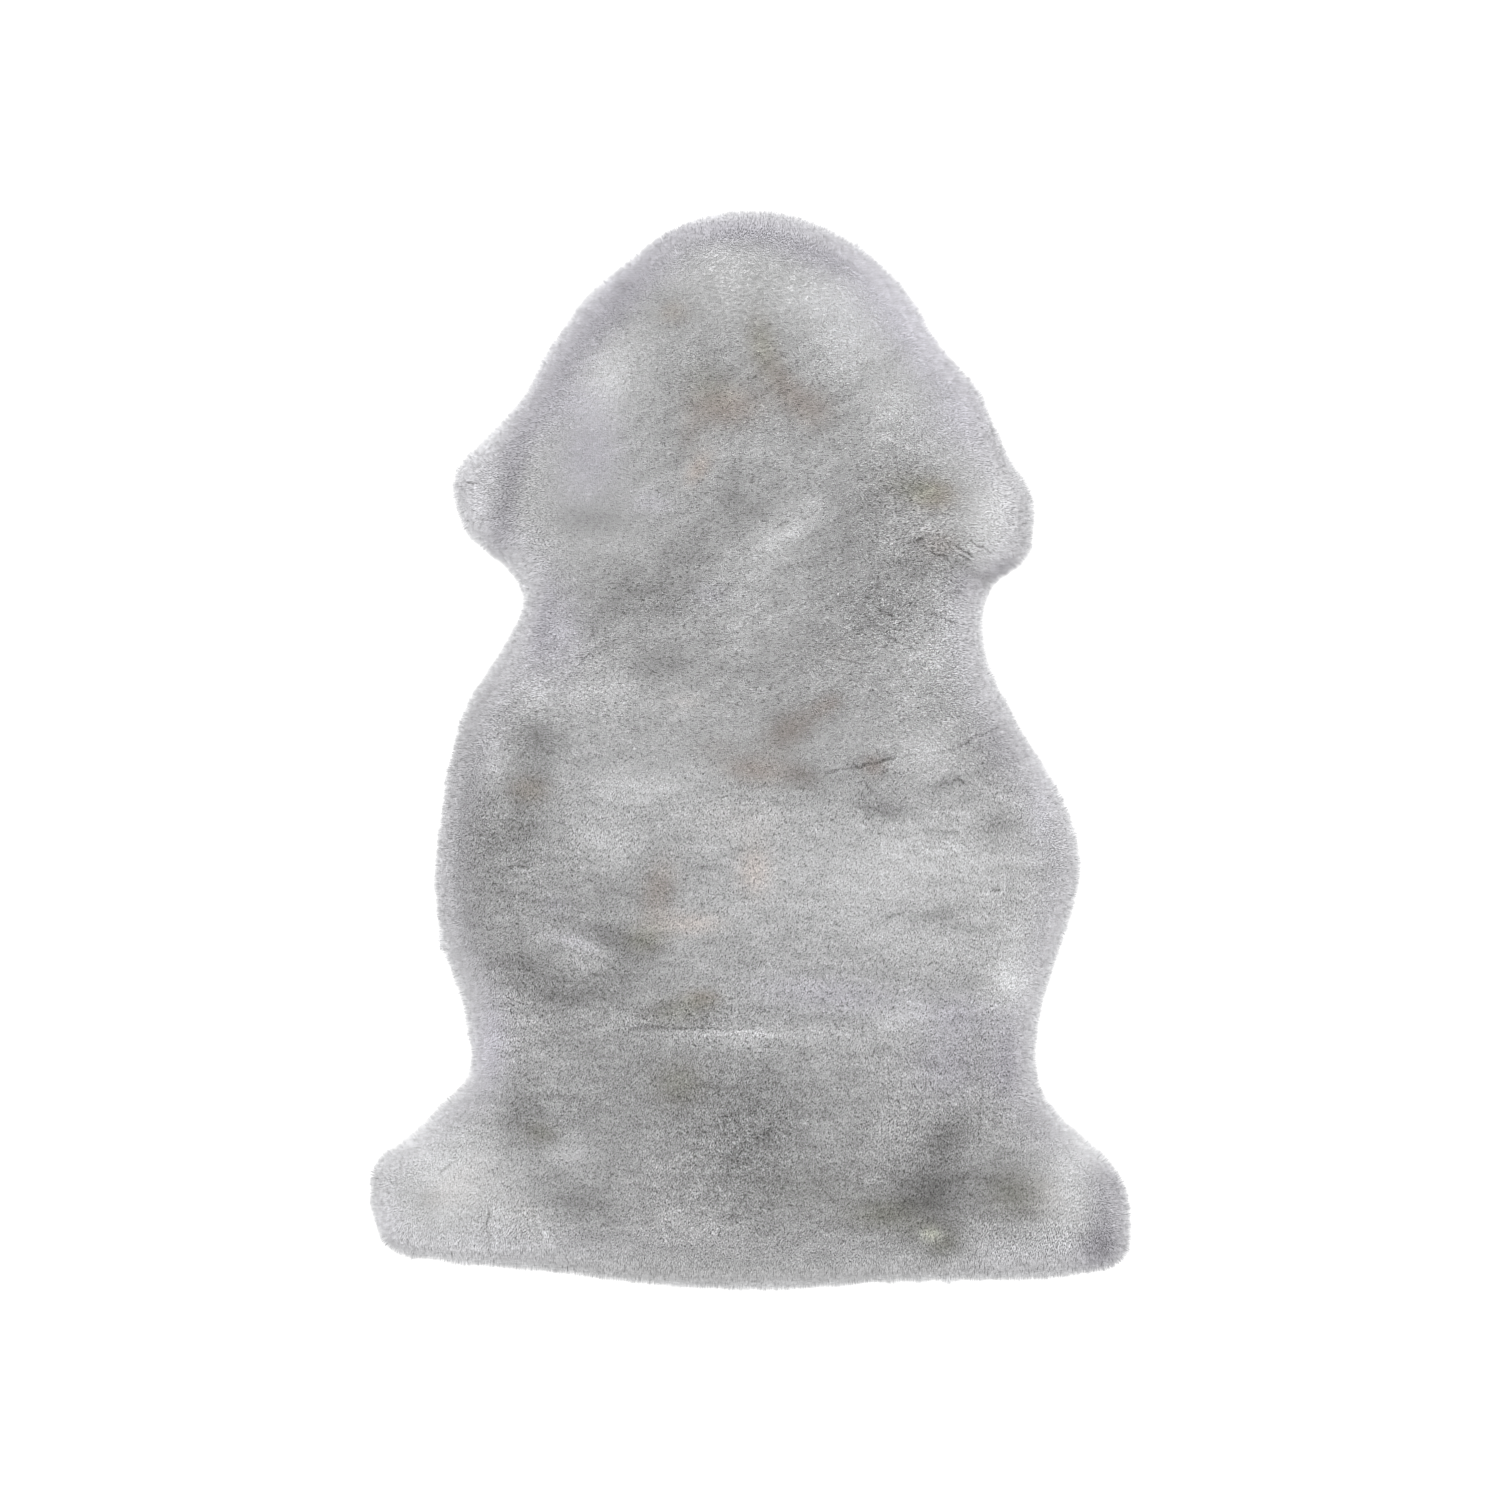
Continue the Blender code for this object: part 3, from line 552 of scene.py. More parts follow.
def wool_material():
    """Grey wool, with its patches, casts and grain: pale at the tips, and painted shade at the
    roots.

    The fleece's body has no tip, crease, chance or stand of its own, so they count as 0 there,
    and all of it has the roots' painted shade.
    """
    material, graph = new_material("grey_wool")
    places = graph.node("ShaderNodeTexCoord").sibling("Object")

    def field(name):
        return graph.node("ShaderNodeAttribute", attribute_name=name).sibling("Fac")

    def stretched(turn, length):
        """Places squeezed along one direction, so that a pattern on them runs long that way."""
        return graph.node(
            "ShaderNodeMapping",
            {"Vector": places, "Rotation": (0, 0, turn), "Scale": (length, 1, 2.5)},
            vector_type="TEXTURE",
        )

    # The wool is combed one way on the neck and shoulders, and curls another way on the rest.
    along = graph.node("ShaderNodeSeparateXYZ", {"Vector": places}).sibling("Y")
    upper = graph.between(along, -0.06, 0.06)
    upper_streaks = graph.noise(stretched(0.45, 2.2), STREAK_SIZE, detail=2.5, roughness=0.45)
    lower_streaks = graph.noise(stretched(0.0, 2.6), STREAK_SIZE, detail=2.5, roughness=0.45)
    streaks = upper * upper_streaks + (1 - upper) * lower_streaks
    combed = graph.noise(stretched(0.0, 3.0), GRAIN_SIZE, detail=1.0)
    curled = graph.noise(stretched(1.05, 1.9), GRAIN_SIZE, detail=1.0)
    grain = upper * combed + (1 - upper) * curled
    flecks = graph.between(grain, 0.22, 0.55)
    waves = graph.noise(stretched(0.0, 2.0), WAVE_SIZE, detail=1.0)
    parting_shade = 1 - graph.between((waves - 0.5).math("ABSOLUTE", waves - 0.5), 0.0, 0.06)
    strands = graph.noise(stretched(0.0, 5.0), STRAND_SIZE, detail=1.0)
    hollows = graph.noise(stretched(0.3, 1.4), HOLLOW_SIZE, detail=1.5)

    # Rough wool shows its flecks, partings and holes, and combed wool only its long strands. The
    # flecks' dark is painted shade in the pits between the curls, and the partings and holes are
    # painted shade in the partings and hollows.
    rough = field("rough")
    hollow_shade = graph.between(hollows, 0.62, 0.71) * graph.between(rough, 0.5, 1.5)
    # light holds painted light and shade along with the wool's own tone; crease holds painted
    # shade.
    tone = field("light") + field("crease") + (streaks - 0.5) * STREAK_TONE * rough
    tone = tone + field("chance") * (rough * 0.06 + 0.02)
    fleck_tone = FLECK_TONE - upper * UPPER_FLECK_TONE_LOSS
    ruffle_shade = (flecks - FLECKS_AVERAGE) * fleck_tone - parting_shade * PARTING_TONE + 0.04
    tone = tone + ruffle_shade * rough - hollow_shade
    tone = tone + (strands - 0.5) * graph.between(1 - rough, 0.0, 1.0) * STRAND_TONE
    shade = graph.node(
        "ShaderNodeValToRGB",
        {"Fac": tone * 0.25 + 0.5},
        stops=[(0.0, WOOL_PIT), (0.25, WOOL_DEEP), (0.5, WOOL_MID), (0.75, WOOL_PALE)],
    )
    stain = graph.mix(field("olive"), BROWN_STAIN, OLIVE_STAIN)
    stained = graph.between(field("warm"), 0.0, 1.6)
    cooled = graph.between(0 - field("warm"), 0.0, 1.6)
    colour = graph.mix(stained, shade, stain, blend="MULTIPLY")
    colour = graph.mix(cooled, colour, LILAC_CAST, blend="MULTIPLY")
    # The roots are darkened towards WOOL_DEEP: painted shade, where the tufts shade each other.
    root = (1 - graph.between(field("tip"), 0.0, 0.8)) * (rough * 0.85 + 0.03) * ROOT_SHADE
    colour = graph.mix(root, colour, WOOL_DEEP, blend="MULTIPLY")

    # Light sinks into wool, so it falls on all of a tuft much as it does on the wool as a whole.
    facing = graph.node("ShaderNodeNewGeometry").sibling("Normal")
    stand = graph.node("ShaderNodeAttribute", attribute_name="stand").sibling("Vector")
    lofty = graph.node("ShaderNodeVectorMath", {0: stand, 1: (0, 0, LOFT)}, operation="ADD")
    even = 0.93 - graph.between(rough, 0.0, 1.0) * 0.13
    soft = graph.node("ShaderNodeMix", {0: even, 4: facing, 5: lofty}, output=1, data_type="VECTOR")
    soft = graph.node("ShaderNodeVectorMath", {0: soft}, operation="NORMALIZE")
    normal = graph.node(
        "ShaderNodeBump",
        {"Height": grain * rough, "Strength": 0.3, "Distance": 0.0010, "Normal": soft},
    )
    finish_surface(graph, colour, 0.95, Normal=normal, Sheen_Weight=0.12, Sheen_Roughness=0.6)
    return material


wool = wool_material()


def evaluated_mesh(holder):
    """The mesh that an object's modifiers make. The object itself is then removed."""
    graph = bpy.context.evaluated_depsgraph_get()
    made = holder.evaluated_get(graph)
    data = bpy.data.meshes.new_from_object(made, preserve_all_data_layers=True, depsgraph=graph)
    bpy.data.objects.remove(holder, do_unlink=True)
    return data


def new_holder(name, data):
    holder = bpy.data.objects.new(name, data)
    bpy.context.scene.collection.objects.link(holder)
    return holder


def reshaped(name, data, *steps):
    """The mesh after some modifiers, each given by its kind and settings."""
    holder = new_holder(name, data)
    for kind, settings in steps:
        modifier = holder.modifiers.new(kind.lower(), kind)
        for setting, value in settings.items():
            setattr(modifier, setting, value)
    return evaluated_mesh(holder)


def even_out(pitch):
    """A closed skin of even faces over the whole shape."""
    return "REMESH", {"mode": "VOXEL", "voxel_size": pitch}


def swell_by(distance):
    return "DISPLACE", {"strength": distance, "mid_level": 0.0}


def soften(times):
    return "SMOOTH", {"factor": 0.5, "iterations": times}


def points_of(data):
    points = np.empty(len(data.vertices) * 3, np.float32)
    data.vertices.foreach_get("co", points)
    return points.reshape(-1, 3)


def sheared_surface():
    """The surface to which the wool is sheared: the solid's, rounded, its narrow clefts filled."""
    mesh = merged_copy(pelt)
    sharpness = mesh.edges.layers.float.new("crease_edge")
    for edge in mesh.edges:
        edge[sharpness] = float(highest(edge) < FLOOR_CONTACT)
    data = bpy.data.meshes.new("sheared_surface")
    mesh.to_mesh(data)
    mesh.free()
    data = reshaped(
        "sheared_surface",
        data,
        ("SUBSURF", {"levels": 2, "render_levels": 2}),
        even_out(SHEARED_PITCH),
        swell_by(CLEFT_FILL),
        even_out(SHEARED_PITCH),
        soften(3),
        swell_by(-CLEFT_FILL),
        soften(2),
    )
    points = points_of(data)
    inset, outward = from_rim(points[:, 0], points[:, 1])
    points[:, :2] += outward * (RIM_REACH * np.clip(1.4 - inset / RIM_REACH_DEPTH, 0, 1))[:, None]
    data.vertices.foreach_set("co", points.ravel())
    data.update()
    return data


def fleece_mesh(surface):
    """The fleece's body, everywhere NAP_DEPTH inside the sheared surface, down to the hide."""
    data = reshaped(
        "fleece_body",
        surface,
        swell_by(-NAP_DEPTH),
        even_out(BODY_PITCH),
        soften(4),
    )
    points = points_of(data)
    underside = points[:, 2] < HIDE_THICKNESS + NAP_DEPTH * 0.8
    points[underside, 2] = HIDE_THICKNESS
    data.vertices.foreach_set("co", points.ravel())
    mesh = bmesh.new()
    mesh.from_mesh(data)
    flat = [face for face in mesh.faces if highest(face) < HIDE_THICKNESS + SAME_PLACE]
    bmesh.ops.dissolve_faces(mesh, faces=flat, use_verts=True)
    mesh.to_mesh(data)
    mesh.free()
    return data


def lay_flat_map(data):
    """A map seen from straight above, so that wool in one place shares one place on it."""
    corners = np.empty(len(data.loops), np.int32)
    data.loops.foreach_get("vertex_index", corners)
    flat = points_of(data)[:, :2]
    low, high = flat.min(axis=0), flat.max(axis=0)
    spread = 0.01 + 0.98 * (flat - low) / (high - low)
    data.uv_layers.new(name="OFBake").data.foreach_set("uv", spread[corners].ravel())


def make_fleece(surface):
    """The fleece's body with the wool's tones on it, painted light and shade among them."""
    data = fleece_mesh(surface)
    points = points_of(data)
    x, y = points[:, 0], points[:, 1]
    inset, _ = from_rim(x, y)
    light, warm, olive = tones_at(x, y, inset)
    keep_field(data, "light", light)
    keep_field(data, "warm", warm)
    keep_field(data, "olive", olive)
    keep_field(data, "rough", roughness_at(x, y, inset))
    data.shade_smooth()
    data.materials.clear()
    lay_flat_map(data)
    return new_piece("fleece", data, "wool", wool)


surface_data = sheared_surface()
fleece = make_fleece(surface_data.copy())

# ---------------------------------------------------------------------------------------------
# The nap. Fine tufts of wool stand all over the fleece, combed tailwards and out over the rim,
# and sheared to one surface. At the rim they lie on their sides and end in a soft fringe.

TUFT_SPACING = 0.00107
RIM_TUFT_SPACING = 0.00096
TUFT_GIRTH = 0.00085  # from the middle of a tuft's root to its corners
LONGEST_TUFT = 0.018
LOWEST_TIP = 0.0005  # above the floor
RIM_WIDTH = 0.030
RIM_PIECE_FROM = 0.30  # the rim's piece of nap is where the share of rim is more than this

# Leans are against a tuft's own height.
RIM_LEAN = 2.2  # the outermost wool falls outwards
TAIL_LEAN = 0.35  # the wool leans back towards the tail
SIDE_LEAN = 0.5  # and on the neck and shoulders it spreads sideways from the spine
SPREAD_WIDTH = 0.120
SWIRL_SIZE, SWIRL_LEAN = 0.070, 0.25
CURL_SIZE, CURL_LEAN = 0.0026, 0.20
PARTING_LEAN = 0.10
CREASE_WAVER_SIZE, CREASE_WAVER = 0.006, 0.0012

# The outermost wool draws together into soft locks, which are weaker on the right.
LOCK_SIZE, LOCK_GATHER = 0.0085, 0.35
LOBE_SIZE, LOBE_TRIM = 0.0095, 0.12
RIGHT_LOCKS = 0.4
CLUMP_SIZE, CLUMP_GROUP_SIZE = 0.0021, 0.0060
NAP_SEED = 11

# Fine creases and nicks, where the tufts part and the eye sees down between them, and the raised
# edges beside some of them. light below 0 is painted shade in a crease, and above 0 a painted
# highlight on a raised edge.
Crease = namedtuple("Crease", "name x_from y_from x_to y_to width light")
CREASES = [
    Crease("back_parting_start", 0.030, -0.023, 0.076, -0.0165, 0.0006, -0.90),
    Crease("back_parting", 0.066, -0.0195, 0.097, -0.0145, 0.0008, -1.70),
    Crease("back_parting_deep", 0.096, -0.0142, 0.126, -0.0065, 0.0009, -2.40),
    Crease("back_parting_end", 0.127, -0.006, 0.150, -0.002, 0.0006, -0.76),
    Crease("back_parting_tail", 0.158, -0.003, 0.177, -0.0005, 0.0008, -0.80),
    Crease("back_parting_rise", 0.177, -0.0005, 0.190, 0.008, 0.0009, -1.10),
    Crease("back_parting_far", 0.190, 0.008, 0.218, 0.0205, 0.0008, -0.80),
    Crease("back_fold", -0.110, -0.050, -0.040, -0.046, 0.0006, -0.54),
    Crease("back_fold_right", -0.040, -0.046, 0.048, -0.022, 0.0006, -0.54),
    Crease("shoulder_nick_high", 0.137, 0.181, 0.150, 0.184, 0.0006, -1.60),
    Crease("shoulder_nick_mid", 0.158, 0.173, 0.172, 0.168, 0.0008, -1.40),
    Crease("shoulder_nick_right", 0.181, 0.178, 0.195, 0.169, 0.0006, -1.60),
    Crease("shoulder_nick_low", 0.183, 0.171, 0.192, 0.166, 0.0008, -1.30),
    Crease("shoulder_nick_far_right", 0.192, 0.182, 0.208, 0.174, 0.0007, -0.90),
    Crease("shoulder_nick_pale", 0.160, 0.164, 0.172, 0.162, 0.0024, 0.30),
    Crease("waist_nick", 0.155, 0.121, 0.178, 0.111, 0.0006, -1.42),
    Crease("waist_nick_left", 0.118, 0.108, 0.140, 0.103, 0.0006, -1.25),
    Crease("waist_nick_low", 0.118, 0.099, 0.127, 0.095, 0.0006, -1.40),
    Crease("waist_nick_tail", 0.128, 0.094, 0.150, 0.087, 0.0006, -1.06),
    Crease("waist_nick_high", 0.098, 0.136, 0.106, 0.132, 0.0007, -1.60),
    Crease("waist_arc", 0.170, 0.137, 0.182, 0.1385, 0.0008, -0.60),
    Crease("waist_glint", 0.156, 0.1395, 0.160, 0.1393, 0.0010, 0.60),
    Crease("withers_nick", 0.108, 0.127, 0.114, 0.122, 0.0007, -1.42),
    Crease("withers_nick_low", 0.121, 0.119, 0.124, 0.116, 0.0011, -1.50),
    Crease("withers_nick_left", 0.040, 0.129, 0.046, 0.127, 0.0007, -1.25),
    Crease("ribs_nick_right", 0.080, 0.079, 0.097, 0.074, 0.0006, -1.06),
    Crease("ribs_nick_left", -0.066, 0.123, -0.052, 0.122, 0.0006, -1.06),
    Crease("loin_tuft", 0.175, -0.030, 0.180, -0.025, 0.0010, -1.40),
    Crease("loin_tuft_right", 0.181, -0.023, 0.187, -0.029, 0.0010, -1.60),
    Crease("loin_tuft_left", 0.167, -0.031, 0.172, -0.029, 0.0008, -1.25),
    Crease("loin_curl", 0.1015, -0.029, 0.106, -0.037, 0.0010, -1.10),
    Crease("loin_ring", 0.116, -0.020, 0.120, -0.016, 0.0010, -1.10),
    Crease("loin_edge", 0.085, -0.052, 0.097, -0.056, 0.0026, 0.30),
    Crease("loin_dip", 0.094, -0.050, 0.112, -0.051, 0.0008, -1.06),
    Crease("belly_nick", 0.120, -0.147, 0.134, -0.141, 0.0007, -1.20),
    Crease("belly_nick_right", 0.211, -0.121, 0.218, -0.122, 0.0008, -1.60),
    Crease("belly_nick_pale", 0.214, -0.125, 0.222, -0.123, 0.0022, 0.42),
    Crease("belly_fold_right", 0.150, -0.069, 0.178, -0.071, 0.0006, -1.06),
    Crease("belly_nick_low", 0.113, -0.178, 0.120, -0.190, 0.0007, -1.25),
    Crease("belly_nick_mid", 0.074, -0.151, 0.079, -0.153, 0.0007, -1.42),
    Crease("belly_nick_left", -0.208, -0.101, -0.194, -0.101, 0.0006, -1.79),
    Crease("belly_edge_left", -0.206, -0.104, -0.190, -0.107, 0.0022, 0.60),
    Crease("loin_edge_left", -0.150, -0.146, -0.134, -0.146, 0.0024, 0.30),
    Crease("loin_fold", -0.105, -0.242, 0.005, -0.243, 0.0006, -1.06),
    Crease("loin_fold_edge", -0.066, -0.247, 0.040, -0.248, 0.0018, 0.14),
    Crease("rump_nick", 0.013, -0.337, 0.019, -0.331, 0.0008, -1.60),
    Crease("rump_nick_low", -0.008, -0.395, -0.003, -0.388, 0.0008, -1.25),
    Crease("thigh_fold_right", 0.203, -0.288, 0.200, -0.342, 0.0006, -0.71),
    Crease("thigh_fold_low_right", 0.194, -0.356, 0.182, -0.388, 0.0006, -0.71),
    Crease("thigh_edge_right", 0.150, -0.423, 0.166, -0.424, 0.0032, 0.54),
    Crease("thigh_nick_right", 0.238, -0.405, 0.246, -0.407, 0.0040, -0.35),
    Crease("hind_leg_crease_left", -0.2265, -0.403, -0.230, -0.413, 0.0009, -1.00),
    Crease("hind_leg_crease_low_left", -0.230, -0.413, -0.227, -0.436, 0.0010, -0.40),
    Crease("hind_leg_edge_left", -0.222, -0.402, -0.222, -0.432, 0.0022, 0.30),
    Crease("rump_crease_left", -0.186, -0.402, -0.178, -0.424, 0.0020, 0.25),
    Crease("rump_crease_low_left", -0.178, -0.424, -0.172, -0.432, 0.0026, 0.30),
    Crease("hind_leg_nick_left", -0.270, -0.370, -0.261, -0.360, 0.0011, -0.90),
    Crease("neck_nick_right", 0.068, 0.3005, 0.087, 0.306, 0.0009, -0.90),
    Crease("foreleg_crease_right", 0.203, 0.267, 0.212, 0.284, 0.0006, -0.85),
    Crease("foreleg_fold_right", 0.212, 0.284, 0.222, 0.242, 0.0007, -0.85),
    Crease("foreleg_lobe_fold_right", 0.184, 0.161, 0.208, 0.148, 0.0060, -0.36),
    Crease("foreleg_nick_left", -0.247, 0.234, -0.237, 0.232, 0.0007, -1.06),
    Crease("foreleg_nick_mid_left", -0.236, 0.204, -0.222, 0.202, 0.0007, -1.06),
    Crease("foreleg_nick_low_left", -0.225, 0.181, -0.217, 0.184, 0.0006, -0.85),
    Crease("forehead_dent_left", -0.114, 0.405, -0.106, 0.406, 0.0040, -0.30),
]


def new_tree(name, inputs):
    """A Geometry Nodes tree with named inputs, and its first node's outputs by name."""
    tree = bpy.data.node_groups.new(name, "GeometryNodeTree")
    for label, kind in inputs.items():
        tree.interface.new_socket(label, in_out="INPUT", socket_type="NodeSocket" + kind)
    tree.interface.new_socket("Wool", in_out="OUTPUT", socket_type="NodeSocketGeometry")
    graph = Graph(tree)
    return graph, graph.node("NodeGroupInput")


def run_tree(holder, graph, values):
    """Adds the tree to an object, sets its inputs, and returns the mesh that it makes."""
    modifier = holder.modifiers.new(graph.tree.name, "NODES")
    modifier.node_group = graph.tree
    for item in graph.tree.interface.items_tree:
        if item.in_out == "INPUT" and item.name in values:
            modifier[item.identifier] = values[item.name]
    return evaluated_mesh(holder)


def root_tree():
    """Scatters the tufts' roots evenly over the fleece, each with its surface's direction."""
    graph, given = new_tree("wool_roots", {"Fleece": "Geometry", "Spacing": "Float", "Seed": "Int"})
    spacing = given.sibling("Spacing")
    upright = graph.node("GeometryNodeInputNormal")
    tilt = graph.node("ShaderNodeSeparateXYZ", {"Vector": upright}).sibling("Z")
    growing = graph.node("FunctionNodeCompare", {0: tilt, 1: -0.4}, operation="GREATER_THAN")
    crowd = graph.node("ShaderNodeMath", {0: 3.0, 1: spacing * spacing}, operation="DIVIDE")
    roots = graph.node(
        "GeometryNodeDistributePointsOnFaces",
        {
            "Mesh": given.sibling("Fleece"),
            "Selection": growing,
            "Distance Min": spacing,
            "Density Max": crowd,
            "Seed": given.sibling("Seed"),
        },
        distribute_method="POISSON",
    )
    kept = graph.node(
        "GeometryNodeStoreNamedAttribute",
        {"Geometry": roots, "Name": "stand", "Value": roots.sibling("Normal")},
        data_type="FLOAT_VECTOR",
        domain="POINT",
    )
    points = graph.node("GeometryNodePointsToVertices", {"Points": kept})
    graph.node("NodeGroupOutput", {"Wool": points})
    return graph


def tuft_tree():
    """Grows a three-sided tuft from each root, along its lean, up to the sheared surface."""
    inputs = {
        "Roots": "Geometry",
        "Sheared Surface": "Object",
        "Girth": "Float",
        "Longest": "Float",
        "Seed": "Int",
        "Finish": "Material",
    }
    graph, given = new_tree("wool_tufts", inputs)

    def field(name, kind="FLOAT"):
        return graph.node("GeometryNodeInputNamedAttribute", {"Name": name}, data_type=kind)

    lean = field("lean", "FLOAT_VECTOR")
    longest = given.sibling("Longest")
    surface = graph.node(
        "GeometryNodeObjectInfo", {"Object": given.sibling("Sheared Surface")}
    ).sibling("Geometry")
    hit = graph.node(
        "GeometryNodeRaycast",
        {"Target Geometry": surface, "Ray Direction": lean, "Ray Length": longest},
    )
    reach = graph.node(
        "GeometryNodeSwitch",
        {"Switch": hit, "False": longest * 0.7, "True": hit.sibling("Hit Distance")},
        input_type="FLOAT",
    )
    length = reach * field("trim")
    girth = given.sibling("Girth") * field("stout")
    facing = graph.node("FunctionNodeAlignRotationToVector", {"Vector": lean}, axis="Z")
    spin = graph.node(
        "FunctionNodeRandomValue",
        {2: 0.0, 3: 2 * math.pi, "Seed": given.sibling("Seed")},
        output=1,
        data_type="FLOAT",
    )
    turned = graph.node(
        "FunctionNodeRotateRotation",
        {
            "Rotation": facing,
            "Rotate By": graph.node("FunctionNodeAxisAngleToRotation", {"Angle": spin}),
        },
        rotation_space="LOCAL",
    )
    size = graph.node("ShaderNodeCombineXYZ", {"X": girth, "Y": girth, "Z": length})
    spike = graph.node(
        "GeometryNodeMeshCone",
        {"Vertices": 3, "Radius Top": 0.0, "Radius Bottom": 1.0, "Depth": 1.0},
    )
    place = graph.node("GeometryNodeInputPosition")
    spike = graph.node(
        "GeometryNodeStoreNamedAttribute",
        {
            "Geometry": spike,
            "Name": "tip",
            "Value": graph.node("ShaderNodeSeparateXYZ", {"Vector": place}).sibling("Z"),
        },
        data_type="FLOAT",
        domain="POINT",
    )
    tufts = graph.node(
        "GeometryNodeInstanceOnPoints",
        {"Points": given.sibling("Roots"), "Instance": spike, "Rotation": turned, "Scale": size},
    )
    grown = graph.node("GeometryNodeRealizeInstances", {"Geometry": tufts})
    smooth = graph.node("GeometryNodeSetShadeSmooth", {"Geometry": grown})
    finished = graph.node(
        "GeometryNodeSetMaterial", {"Geometry": smooth, "Material": given.sibling("Finish")}
    )
    graph.node("NodeGroupOutput", {"Wool": finished})
    return graph


def cloud(x, y, size, seed):
    """Smooth random values from -1 to 1 over the pelt, changing over about size."""
    count = 128
    cells = np.random.default_rng(seed).uniform(-1, 1, (count, count))
    across, along = x / size, y / size
    column, row = np.floor(across).astype(int), np.floor(along).astype(int)
    u, v = eased(across - column), eased(along - row)

    def cell(shift_row, shift_column):
        return cells[(row + shift_row) % count, (column + shift_column) % count]

    lower = cell(0, 0) * (1 - u) + cell(0, 1) * u
    upper = cell(1, 0) * (1 - u) + cell(1, 1) * u
    return lower * (1 - v) + upper * v


def creases_at(x, y):
    """The creases' painted shade and their edges' painted highlights, and how the wool parts."""
    light = np.zeros(len(x))
    parted = np.zeros((len(x), 2))
    waver = np.column_stack([cloud(x, y, CREASE_WAVER_SIZE, seed) for seed in (12, 13)])
    places = np.column_stack([x, y]) + CREASE_WAVER * waver
    for crease in CREASES:
        start = np.array([crease.x_from, crease.y_from])
        line = np.array([crease.x_to, crease.y_to]) - start
        offset = places - start
        share = np.clip(offset @ line / (line @ line), 0, 1)
        away = (offset - share[:, None] * line) / crease.width
        far = np.sum(away * away, axis=1)
        light += crease.light * np.exp(-far)
        parted += min(crease.light, 0) * away * np.exp(-far / 4)[:, None]
    return light, -parted


def lock_share(rim, x):
    """How strongly the wool draws into locks: only near the rim, and less so on the right."""
    return rim * rim * np.where(x < 0, 1.0, RIGHT_LOCKS)


def comb(points, stands):
    """Each tuft's lean, trim, girth and tones, painted light and shade among them, from where its
    root is.
    """
    x, y = points[:, 0], points[:, 1]
    inset, outward = from_rim(x, y)
    rim = np.clip(1 - inset / RIM_WIDTH, 0, 1)
    rough = roughness_at(x, y, inset)
    upper = np.clip(0.5 + y / SPREAD_WIDTH, 0, 1)
    chance = np.random.default_rng(NAP_SEED).uniform(-1, 1, (len(x), 4))

    gather = LOCK_GATHER * lock_share(rim, x) * cloud(x, y, LOCK_SIZE, seed=9)
    lean = stands.astype(float)
    lean[:, :2] += outward * (rim * RIM_LEAN)[:, None]
    lean[:, :2] += np.column_stack([-outward[:, 1], outward[:, 0]]) * gather[:, None]
    sideways = upper * SIDE_LEAN * np.tanh(x / SPREAD_WIDTH)
    downward = -TAIL_LEAN * (1 - 0.7 * upper)
    lean[:, 0] += (1 - rim) * (SWIRL_LEAN * cloud(x, y, SWIRL_SIZE, seed=3) + sideways)
    lean[:, 1] += (1 - rim) * (SWIRL_LEAN * cloud(x, y, SWIRL_SIZE, seed=4) + downward)
    lean[:, 0] += rough * CURL_LEAN * cloud(x, y, CURL_SIZE, seed=5)
    lean[:, 1] += rough * CURL_LEAN * cloud(x, y, CURL_SIZE, seed=6)
    lean += (0.03 + 0.09 * rough)[:, None] * chance[:, :3]
    lean[:, :2] += PARTING_LEAN * creases_at(x, y)[1]
    lean /= np.linalg.norm(lean, axis=1)[:, None]
    lean[:, 2] = np.maximum(lean[:, 2], (LOWEST_TIP - points[:, 2]) / LONGEST_TUFT)

    rise = np.clip(np.sum(lean * stands, axis=1), 0.3, 1.0)
    tips = points + lean * (NAP_DEPTH / rise)[:, None]
    x, y = tips[:, 0], tips[:, 1]
    inset, _ = from_rim(x, y)
    clumps = cloud(x / (1.2 + upper), y, CLUMP_SIZE, seed=7) * 0.8
    clumps = clumps + cloud(x, y, CLUMP_GROUP_SIZE, seed=8) * 0.2
    creases, _ = creases_at(x, y)
    trim = 1 + (0.03 + 0.07 * rough) * chance[:, 3] + rough * 0.16 * clumps
    trim += LOBE_TRIM * lock_share(rim, x) * cloud(x, y, LOBE_SIZE, seed=10)
    trim += 0.15 * np.clip(creases, -1, 0)
    light, warm, olive = tones_at(x, y, inset)
    return {
        "stand": stands,
        "lean": lean,
        "trim": np.clip(trim, 0.3, 1.4),
        "stout": 1 + 0.25 * chance[:, 1] - 0.25 * rim,
        # Taller clumps are painted paler and shorter ones darker: painted light and shade.
        "light": light + rough * 0.14 * clumps,
        "warm": warm,
        "olive": olive,
        "rim": rim,
        "rough": rough,
        "chance": chance[:, 0],
    }


def scatter(spacing):
    """Roots at this spacing all over the fleece: their places, and which way the wool stands."""
    data = run_tree(
        new_holder("roots", fleece.data),
        root_tree(),
        {"Spacing": spacing, "Seed": NAP_SEED},
    )
    return points_of(data), read_field(data, "stand")


surface_holder = new_holder("sheared_surface", surface_data)
grower = tuft_tree()


def grow_nap(name, points, fields, chosen):
    """One piece of nap, from the chosen roots."""
    data = bpy.data.meshes.new(name)
    data.vertices.add(int(chosen.sum()))
    data.vertices.foreach_set("co", points[chosen].ravel())
    for label, values in fields.items():
        keep_field(data, label, values[chosen])
    grown = run_tree(
        new_holder(name, data),
        grower,
        {
            "Sheared Surface": surface_holder,
            "Girth": TUFT_GIRTH,
            "Longest": LONGEST_TUFT,
            "Seed": NAP_SEED,
            "Finish": wool,
        },
    )
    grown.name = name
    places = points_of(grown)
    # The creases' painted shade and highlights, kept for the wool's colour.
    light, _ = creases_at(places[:, 0], places[:, 1])
    keep_field(grown, "crease", light)
    lay_flat_map(grown)
    return new_piece(name, grown, "wool")


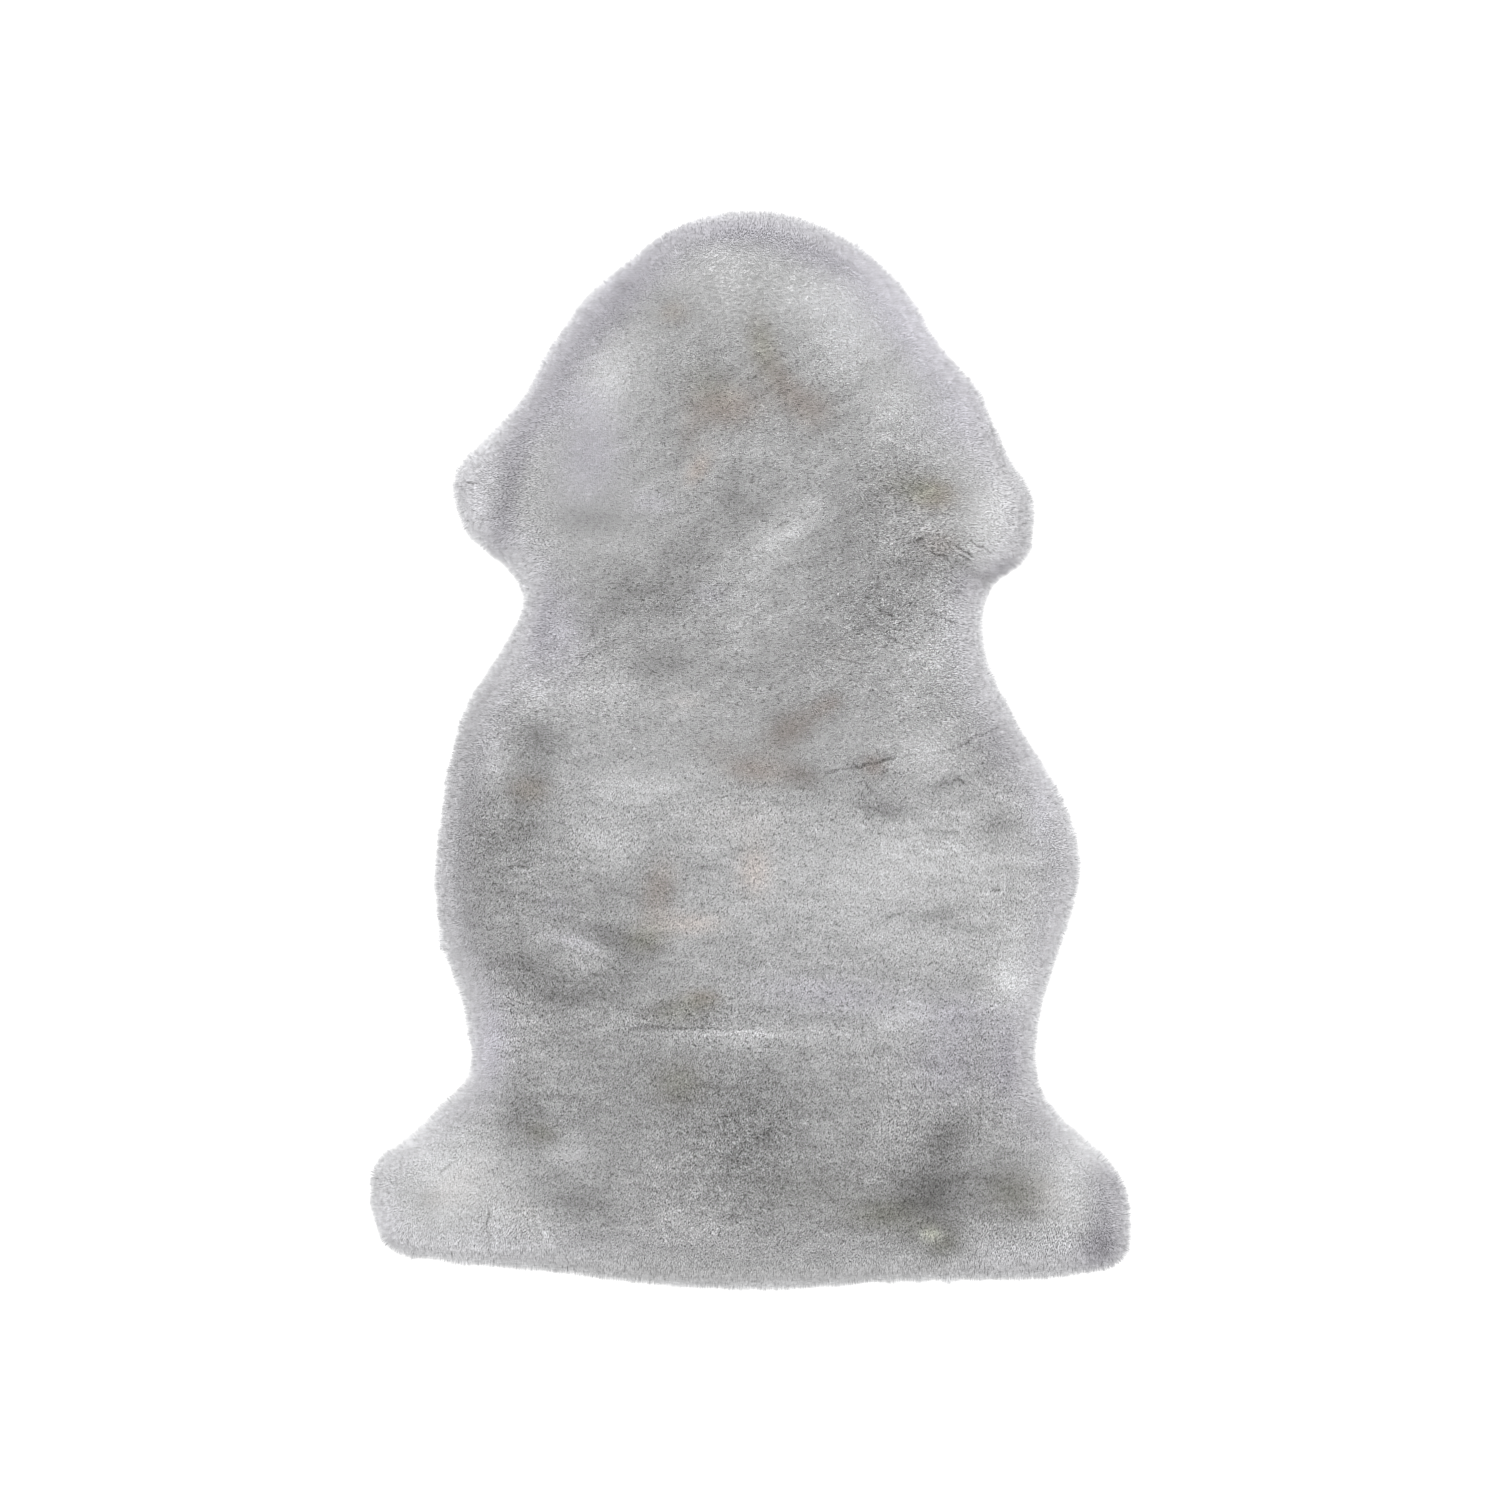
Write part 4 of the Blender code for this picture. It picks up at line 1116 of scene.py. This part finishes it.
rim_points, rim_stands = scatter(RIM_TUFT_SPACING)
rim_fields = comb(rim_points, rim_stands)
nap = [grow_nap("wool_rim", rim_points, rim_fields, rim_fields["rim"] > RIM_PIECE_FROM)]
inner_points, inner_stands = scatter(TUFT_SPACING)
inner_fields = comb(inner_points, inner_stands)
inside = inner_fields["rim"] <= RIM_PIECE_FROM
along = inner_points[:, 1]
for name, low, high in (
    ("wool_neck", 0.20, 0.60),
    ("wool_back", 0.02, 0.20),
    ("wool_loin", -0.13, 0.02),
    ("wool_rump", -0.30, -0.13),
    ("wool_haunches", -0.60, -0.30),
):
    chosen = inside & (along >= low) & (along < high)
    nap.append(grow_nap(name, inner_points, inner_fields, chosen))
bpy.data.objects.remove(surface_holder, do_unlink=True)

# ---------------------------------------------------------------------------------------------
# The studio: a white floor, a wide soft lamp overhead, and a camera looking straight down.

FLOOR_SIZE = 6.0
FLOOR_DIM = (0.90, 0.90, 0.90, 1.0)
FLOOR_PALE = (0.92, 0.92, 0.92, 1.0)
VIEW_WIDTH = 1.3206  # of floor across the picture
LENS, SENSOR = 85.0, 36.0
LAMP_HEIGHT, LAMP_SIZE, LAMP_POWER = 4.2, 3.0, 260.0
ROOM_LIGHT = 0.75


def floor_material():
    material, graph = new_material("white_floor")
    places = graph.node("ShaderNodeTexCoord").sibling("Object")
    mottle = graph.noise(places, 0.4, detail=2.0)
    colour = graph.mix(mottle, FLOOR_DIM, FLOOR_PALE)
    finish_surface(graph, colour, 0.9)
    return material


def make_floor():
    data = bpy.data.meshes.new("floor")
    reach = FLOOR_SIZE / 2
    signs = [(-1, -1), (1, -1), (1, 1), (-1, 1)]
    data.from_pydata([(reach * x, reach * y, 0.0) for x, y in signs], [], [(0, 1, 2, 3)])
    data.materials.append(floor_material())
    floor = bpy.data.objects.new("floor", data)
    bpy.context.scene.collection.objects.link(floor)


def make_lamp():
    lamp = bpy.data.lights.new("overhead", "AREA")
    lamp.shape, lamp.size, lamp.energy = "SQUARE", LAMP_SIZE, LAMP_POWER
    holder = bpy.data.objects.new("overhead", lamp)
    holder.location = (0.0, 0.3, LAMP_HEIGHT)
    bpy.context.scene.collection.objects.link(holder)


def make_room():
    world = bpy.data.worlds.new("room")
    world.use_nodes = True
    background = world.node_tree.nodes["Background"]
    background.inputs["Color"].default_value = (1.0, 1.0, 1.0, 1.0)
    background.inputs["Strength"].default_value = ROOM_LIGHT
    bpy.context.scene.world = world


def make_camera():
    camera = bpy.data.cameras.new("camera")
    camera.lens, camera.sensor_width = LENS, SENSOR
    camera.clip_end = 20.0
    holder = bpy.data.objects.new("camera", camera)
    holder.location = (0.0, 0.0, VIEW_WIDTH * LENS / SENSOR)
    bpy.context.scene.collection.objects.link(holder)
    bpy.context.scene.camera = holder


make_floor()
make_lamp()
make_room()
make_camera()
bpy.context.scene.view_settings.view_transform = "Standard"
